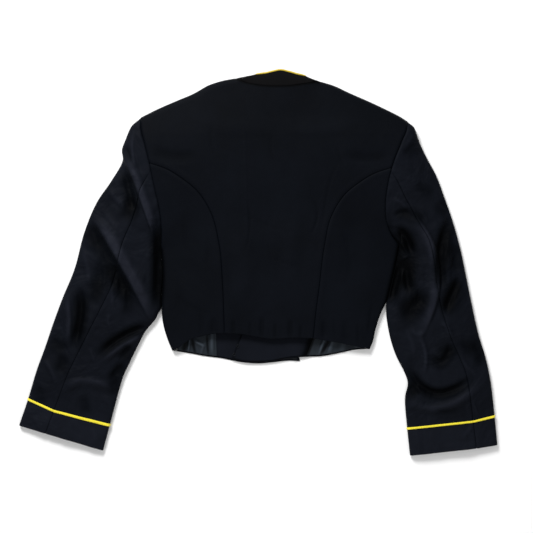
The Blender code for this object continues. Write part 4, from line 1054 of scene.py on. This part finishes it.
FRONT_ROWS = 50
for hand, under_it, area in (("left", "right", 0.108), ("right", "left", 0.104)):
    low = at_shares(LINES["side", hand], closer(FRONT_ROWS, 0.3))
    high = at_shares(LINES["armhole", hand], np.linspace(1, 0, 46))
    outer = np.concatenate([low, high[1:]])
    run = run_of(outer)
    edge = at_shares(LINES["front edge", hand], run / run[-1])
    top = np.concatenate([LINES["shoulder", hand], LINES["neck front", hand][1:]])
    u = np.concatenate([np.linspace(0, 0.04, 9)[:-1], 0.04 + 0.96 * np.linspace(0, 1, 84)])
    top = at_shares(top, u)
    corner = np.linalg.norm(top - LINES["shoulder", hand][-1], axis=1).argmin()
    hem_line = at_shares(LINES["hem front", hand], u)
    bottom_pull = np.clip(1 - run / 0.10, 0, 1) ** 2
    top_pull = np.clip(1 - (run[-1] - run) / 0.24, 0, 1) ** 1.5
    plan = panel(outer, edge, hem_line, top, bottom_pull, top_pull, np.tile(u, (len(run), 1)))
    skin = np.dstack([plan, front_height(plan, hand)])
    normal = -normals_of(skin)
    level(skin, normal, np.s_[:FRONT_ROWS, 0], -1)
    draw_back(skin, normal, np.s_[FRONT_ROWS - 1 :, 0], np.s_[FRONT_ROWS - 1 :, 1])
    level(skin, normal, np.s_[-1, : corner + 1], -1)
    draw_back(skin, normal, np.s_[-1, corner:], np.s_[-2, corner:])
    front = cloth(f"cloth_front_{hand}", skin, normal, CLOTH, BLACK_WORSTED, (0.7, 0.7, 0, 0), 4)
    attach(front, "root")
    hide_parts(f"front_{hand}")

# Facings and lining. They show under the arched back hem: a facing of the same worsted along each front
# edge, and a grey satin lining that is felled to it by hand and lies in slack folds. A narrow satin strip
# lies at the corner of the left front. The folds are in the same columns as the back's.
LINER = 0.9 * MM
LINING_TOP = -72
LINING_FOLDS = {
    "lining_left": [
        (-147, -154, -143, -147, -137, -136, -2.4, 4, 4),
        (-135, -166, -132, -152, -127, -132, -3.0, 5, 5),
        (-124, -165, -124, -152, -122, -130, 3.0, 3, 3),
        (-119, -130, -116, -150, -111, -167, -3.2, 3, 3),
        (-117, -138, -105, -146, -94, -151, 3.0, 5, 5),
        (-104, -170, -101, -158, -96, -144, 1.6, 5, 5),
        (-92, -124, -91, -148, -88.5, -170, -3.0, 2.5, 2.5),
        (-83, -170, -83, -150, -83, -112, 2.6, 6, 7),
    ],
    "lining_right": [
        (87, -172, 93, -152, 105, -118, -5.0, 4, 4),
        (108, -172, 114, -152, 128, -118, 3.4, 5, 5),
        (114, -166, 121, -152, 134, -126, -4.2, 3, 3),
        (124, -168, 130, -150, 142, -120, 3.0, 4, 10),
        (146, -164, 152, -150, 160, -124, 1.8, 10, 12),
        (172, -160, 178, -148, 186, -124, 1.4, 8, 10),
    ],
}


def satin(title, colour):
    """Grey acetate satin: a long soft highlight across the warp, fine filling lines, creases, and painted
    shade and tone.
    """
    paint, shader = new_paint(title, {"Roughness": 0.36, "Anisotropic": 0.6, "Specular IOR Level": 0.06})
    filling = add(paint, "TexWave", Vector=threads_of(paint), Scale=420.0, Distortion=0.6)
    filling.bands_direction = "Y"
    creases = noise(paint, 60.0, Detail=4.0)
    shaded_colour = add(paint, "VectorMath")
    shaded_colour.operation = "SCALE"
    tone = shades(paint, creases, colour * 0.75, colour * 1.25)
    feed(shaded_colour, {0: tone, "Scale": power_of_shade_and_tone(paint, 4.0)})
    relief = bumps(paint, (creases, 0.5, 0.0012), (filling.outputs["Fac"], 0.25, 0.00006))
    feed(shader, {"Base Color": shaded_colour.outputs["Vector"], "Normal": relief})
    return paint


GREY_SATIN = satin("grey satin", np.array([0.0175, 0.0220, 0.0280]))
# The right facing is 131 mm wide at the hem, and its last 7 mm get a painted shadow where the lining is sewn
# to it.
FACING_WIDE = 131
FACING_SHADOW = 7


def inside(name, first, last, cols, rows, paint, size, area):
    """Sheet on the inside of a front, between a left and a right plan line from the hem to its top."""
    ends = [np.linspace(np.array(line[0]), np.array(line[1]), rows) * MM for line in (first, last)]
    u = np.linspace(0, 1, cols)[:, None]
    plan = np.stack([(1 - u) * a + u * b for a, b in zip(*ends)])
    # The lower edge follows the hem of the front, 2.5 mm inside it.
    hand = name.split("_")[-1]
    hem = LINES["hem front", hand]
    order = np.argsort(hem[:, 0])
    low = np.interp(plan[0, :, 0], hem[order, 0], hem[order, 1]) + 2.5 * MM
    chord = plan[0, :1, 1] + (plan[0, -1:, 1] - plan[0, :1, 1]) * np.linspace(0, 1, cols)
    plan[:, :, 1] += np.linspace(1, 0, rows)[:, None] * (low - chord)
    height = front_lift(plan, hand) + CLOTH + LINER + 0.6 * MM
    edges = np.minimum(np.arange(cols), np.arange(cols)[::-1]) / cols
    if name in LINING_FOLDS:
        folds = fold_height(plan, LINING_FOLDS[name]) + abs(drape(plan, 30 * MM, 1.4 * MM, 11))
        height = height + np.maximum(folds, -0.1 * MM) * ramp(edges, 0, 0.04)
    skin = np.dstack([plan, height])
    normal = normals_of(skin)
    shade_and_tone = np.full((rows, cols), -0.7 if name == "corner_strip_left" else 0.55)
    # Painted shadow along the right facing's edge by the lining.
    if name == "facing_right":
        shade_and_tone -= 1.9 * np.exp(-((1 - u.T) * FACING_WIDE / FACING_SHADOW) ** 2)
    # Painted shade in the lining's troughs and painted highlight on its ridges.
    if name in LINING_FOLDS:
        shade_and_tone = np.clip(2.4 * fold_shading(plan, LINING_FOLDS[name], 1.3), -1.3, 0.6) - 0.1
    piece = cloth(f"sheet_{name}", skin, normal, LINER, paint, (0.3, 0, 0, 0), 3, shade_and_tone)
    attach(piece, "root")
    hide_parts(name)
    return piece


for row in (
    ("facing_left", [(-73.5, -168), (-76, LINING_TOP)], [(42, -174), (40, LINING_TOP)], 60, 50,
     BLACK_WORSTED, (0.122, 0.11), 0.0118),
    ("lining_left", [(-146, -157), (-158, LINING_TOP)], [(-74.2, -168), (-76.7, LINING_TOP)], 90, 50,
     GREY_SATIN, (0.092, 0.102), 0.0078),
    ("facing_right", [(-44, -172), (-6, LINING_TOP)], [(87, -168), (122, LINING_TOP)], 90, 50,
     BLACK_WORSTED, (0.14, 0.11), 0.0131),
    ("lining_right", [(87.8, -168), (122.8, LINING_TOP)], [(188, -153), (208, LINING_TOP)], 90, 50,
     GREY_SATIN, (0.11, 0.10), 0.0088),
    ("corner_strip_left", [(43.2, -174), (42.4, -152)], [(71, -175), (65, -152)], 30, 20,
     GREY_SATIN, (0.03, 0.024), 0.0006),
):
    inside(*row)

# Collar. A band goes round the neck: its back half lies on the neck seam and leans outwards, so that the
# felt of the undercollar shows; its sides turn under at the shoulders, and its front halves lie beneath.
# Each row gives a place on the neck seam, as a line and a share of it, and the band's top edge there.
COLLAR_CLOTH = 2.4 * MM
COLLAR = [
    ("front left", 0.00, 38, 283, 0.1),
    ("front left", 0.20, 20, 286, 0.1),
    ("front left", 0.42, 4, 293, 0.2),
    ("front left", 0.64, -8, 305, 0.8),
    ("front left", 0.82, -13, 318, 2.2),
    ("front left", 0.94, -12, 329, 4.8),
    ("neck", 0.00, -9, 335.5, 8.5),
    ("neck", 0.05, -5, 337, 12.5),
    ("neck", 0.13, 2, 338.2, 15.2),
    ("neck", 0.25, 14, 339, 16.6),
    ("neck", 0.38, 28, 342, 17.2),
    ("neck", 0.52, 41, 344, 17.4),
    ("neck", 0.65, 57, 340.6, 17.2),
    ("neck", 0.78, 71, 337, 16.6),
    ("neck", 0.89, 81, 335.6, 15.2),
    ("neck", 0.96, 87, 333.4, 12.5),
    ("neck", 1.00, 89, 330, 8.5),
    ("front right", 0.94, 91, 325, 4.8),
    ("front right", 0.82, 91, 314, 2.2),
    ("front right", 0.64, 86, 303, 0.8),
    ("front right", 0.42, 75, 292, 0.2),
    ("front right", 0.20, 60, 286, 0.1),
    ("front right", 0.00, 42, 283, 0.1),
]


def felt(title, colour):
    """Undercollar felt: matted wool with no weave, warmer and a little lighter than the worsted."""
    paint, shader = new_paint(title, {"Roughness": 0.95, "Specular IOR Level": 0.03, "Sheen Weight": 0.01})
    matted = noise(paint, 420.0, Detail=6.0, Roughness=0.75, Distortion=1.2)
    tone = shades(paint, matted, colour * 0.7, colour * 1.4)
    feed(shader, {"Base Color": tone, "Normal": bumps(paint, (matted, 0.6, 0.0003))})
    return paint


FELT = felt("undercollar felt", np.array([0.0034, 0.0033, 0.0036]))
feet, rims = [], []
for line, share, x, y, z in COLLAR:
    if line == "neck":
        place = at_shares(LINES["neck"], [share])
        height = back_height(place, fine=False)[0]
    else:
        hand = line.split()[1]
        place = at_shares(LINES["neck front", hand][::-1], [share])
        height = front_height(place, hand)[0]
    feet.append((*place[0], height))
    # Where the band stands high, its edge leans a little less far out.
    rims.append((x * MM, (y - (1.2 if z > 14 else 0)) * MM, z * MM))
feet, rims = np.array(feet), np.array(rims)
knots = run_of(feet + rims)
fine = flow(np.linspace(0, knots[-1], 240), knots, np.concatenate([feet, rims], axis=1))
foot, rim = fine[:, :3].copy(), fine[:, 3:].copy()
across = (rim - foot)[:, :2]
across /= np.linalg.norm(across, axis=1, keepdims=True)
# The band's foot keeps clear of the back, and more so at both ends of the neck.
tips = sum(np.exp(-((foot[:, 0] - x * MM) / (11 * MM)) ** 2) for x in (-41, 111))
foot[:, :2] += across * (0.9 + 4.0 * tips[:, None]) * MM
foot[:, 2], rim[:, 2] = np.maximum(foot[:, 2], 0), np.maximum(rim[:, 2], 0)
t = np.linspace(0, 1, 24)[:, None, None]
skin = (1 - t) * foot[None] + t * rim[None]
# At the back its lower edge is tucked under the neck edge of the back, which leaves a dark line along the
# seam. Each row of the tuck goes this far in and down, in millimetres.
TUCK = ((4.5, 3.4), (2.6, 3.0), (1.2, 1.8))
at_back = ramp(foot[:, 2], 6 * MM, 12 * MM)
tuck = 0.04 + 0.96 * at_back[:, None]
tucked_rows = [
    foot - np.concatenate([across * reach, np.full((len(foot), 1), drop)], axis=1) * tuck * MM
    for reach, drop in TUCK
]
skin = np.concatenate([np.array(tucked_rows), skin[1:]])
skin[..., 2] = np.maximum(skin[..., 2], 0)
# The band bellies out a little between its seam and its edge.
t = np.concatenate([np.zeros(len(TUCK)), t[1:, 0, 0]])[:, None]
skin[..., 2] += 1.1 * MM * np.sin(np.pi * t) * at_back
normal = normals_of(skin, np.s_[14, 120])
draw_back(skin, normal, np.s_[0, :], np.s_[1, :])
collar = cloth("band_collar", skin, normal, COLLAR_CLOTH, FELT, (0, 0.5, 0.9, 0.5), 5)
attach(collar, "root")
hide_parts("collar")

# Collar piping. A gold-yellow cord, 3.4 mm thick and twisted from two strands, runs along the collar's top
# edge.
PIPING_RADIUS = 1.7 * MM
spine = rim - normal[-1] * COLLAR_CLOTH / 2
up = rim - foot
up /= np.linalg.norm(up, axis=1, keepdims=True)
along = np.gradient(spine, axis=0)
along /= np.linalg.norm(along, axis=1, keepdims=True)
side = np.cross(along, up)
side /= np.linalg.norm(side, axis=1, keepdims=True)
up = np.cross(side, along)
spine = spine + up * (PIPING_RADIUS + GAP)
spine[:, :2] += across * 0.25 * MM
spine[:, 2] = np.maximum(spine[:, 2], PIPING_RADIUS)


def tube(name, spine, up, side, radius, paint, around=16, twist=None, closed=False):
    """Cord or wire: rings of points round a spine. A twist, in metres a turn, winds two lobes round it."""
    angle = np.linspace(0, 2 * np.pi, around, endpoint=False)[None, :]
    wide = np.full((len(spine), around), radius)
    if twist:
        wind = 2 * np.pi * run_of(spine)[:, None] / twist
        wide = radius * (0.80 + 0.20 * abs(np.cos(angle - wind)))
    rings = spine[:, None] + (wide * np.cos(angle))[..., None] * up[:, None]
    rings += (wide * np.sin(angle))[..., None] * side[:, None]
    count = len(spine)
    grid = np.arange(count * around).reshape(count, around)
    after = np.roll(grid, -1, axis=0) if closed else grid[1:]
    here = grid if closed else grid[:-1]
    quads = np.stack([here, np.roll(here, -1, axis=1), np.roll(after, -1, axis=1), after], axis=-1)
    faces = quads.reshape(-1, 4).tolist()
    if not closed:
        faces += [grid[0][::-1].tolist(), grid[-1].tolist()]
    mesh = bpy.data.meshes.new(name)
    mesh.from_pydata((rings.reshape(-1, 3) - (*TABLE_CENTRE, 0)).tolist(), [], faces)
    corners = rings.reshape(-1, 3)[np.array([face[:3] for face in faces])]
    facing = np.cross(corners[:, 1] - corners[:, 0], corners[:, 2] - corners[:, 0])
    if (facing * corners[:, 0]).sum() < 0:
        mesh.flip_normals()
    mesh.shade_smooth()
    mesh.materials.append(paint)
    piece = bpy.data.objects.new(name, mesh)
    bpy.context.collection.objects.link(piece)
    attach(piece, "root")
    return piece


def silk(title, colour):
    """Gold cord: mercerised thread, bright on the strands and dark between them."""
    paint, shader = new_paint(title, {"Roughness": 0.5, "Sheen Weight": 0.2})
    fibre = noise(paint, 700.0, Detail=3.0)
    tone = shades(paint, fibre, colour * 0.75, colour * 1.15)
    feed(shader, {"Base Color": tone, "Normal": bumps(paint, (fibre, 0.4, 0.0002))})
    return paint


GOLD_CORD = silk("gold cord", np.array([0.50, 0.36, 0.010]))
at = np.linspace(0, len(spine) - 1, 900)
steps = [
    np.stack([np.interp(at, np.arange(len(values)), values[:, k]) for k in range(3)], axis=-1)
    for values in (spine, up, side)
]
piping = tube("cord_collar", *steps, PIPING_RADIUS, GOLD_CORD, 14, 5 * MM)
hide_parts("collar_piping")

# Metal. Split rings inside the fronts hold the shanks of the buttons, which face the floor, and a wire eye
# is sewn at each lower corner. A split ring is nearly two turns of sprung wire. Each row has a ring's place
# and radius.
BUTTON_TURNS = 1.85
BUTTON_RISE = 0.26
WIRE_RADIUS = {"button": 0.24, "side": 0.42}
RINGS = [
    ("button_ring_1", -36, -150, 8.1, 2.4),
    ("button_ring_2", -43, -165, 8.1, 2.4),
    ("button_ring_3", 66, -173.9, 4.1, 2.0),
    ("side_eye_left", -147.5, -156.3, 3.9, 2.0),
    ("side_eye_right", 194, -153, 2.5, 2.0),
]


def drawn_wire(title, colour):
    """Steel wire: polished along its length and dulled in places by fine scratches."""
    paint, shader = new_paint(title, {"Metallic": 1.0, "Base Color": (*colour, 1)})
    dulled = add(paint, "MapRange", Value=noise(paint, 900.0), To_Min=0.2, To_Max=0.5)
    feed(shader, {"Roughness": dulled.outputs["Result"]})
    return paint


WIRES = {
    "button": drawn_wire("blackened wire", (0.028, 0.028, 0.030)),
    "side": drawn_wire("plated wire", (0.42, 0.42, 0.40)),
}
for name, x, y, z, radius in RINGS:
    kind = name.split("_")[0]
    closed = kind == "side"
    turns = 1.0 if closed else BUTTON_TURNS
    angle = np.linspace(0, 2 * np.pi * turns, int(48 * turns))[:, None]
    rise = np.linspace(-BUTTON_RISE, BUTTON_RISE, len(angle))[:, None] * (not closed)
    out = np.concatenate([np.cos(angle), np.sin(angle), 0 * angle], axis=1)
    high = np.tile([0.0, 0.0, 1.0], (len(angle), 1))
    path = (out * (radius + 0.06 * rise) + np.array([x, y, z]) + high * rise) * MM
    if closed:
        path, out, high = path[:-1], out[:-1], high[:-1]
    loop = tube(f"wire_{name}", path, high, out, WIRE_RADIUS[kind] * MM, WIRES[kind], 10, closed=closed)
    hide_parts(name)
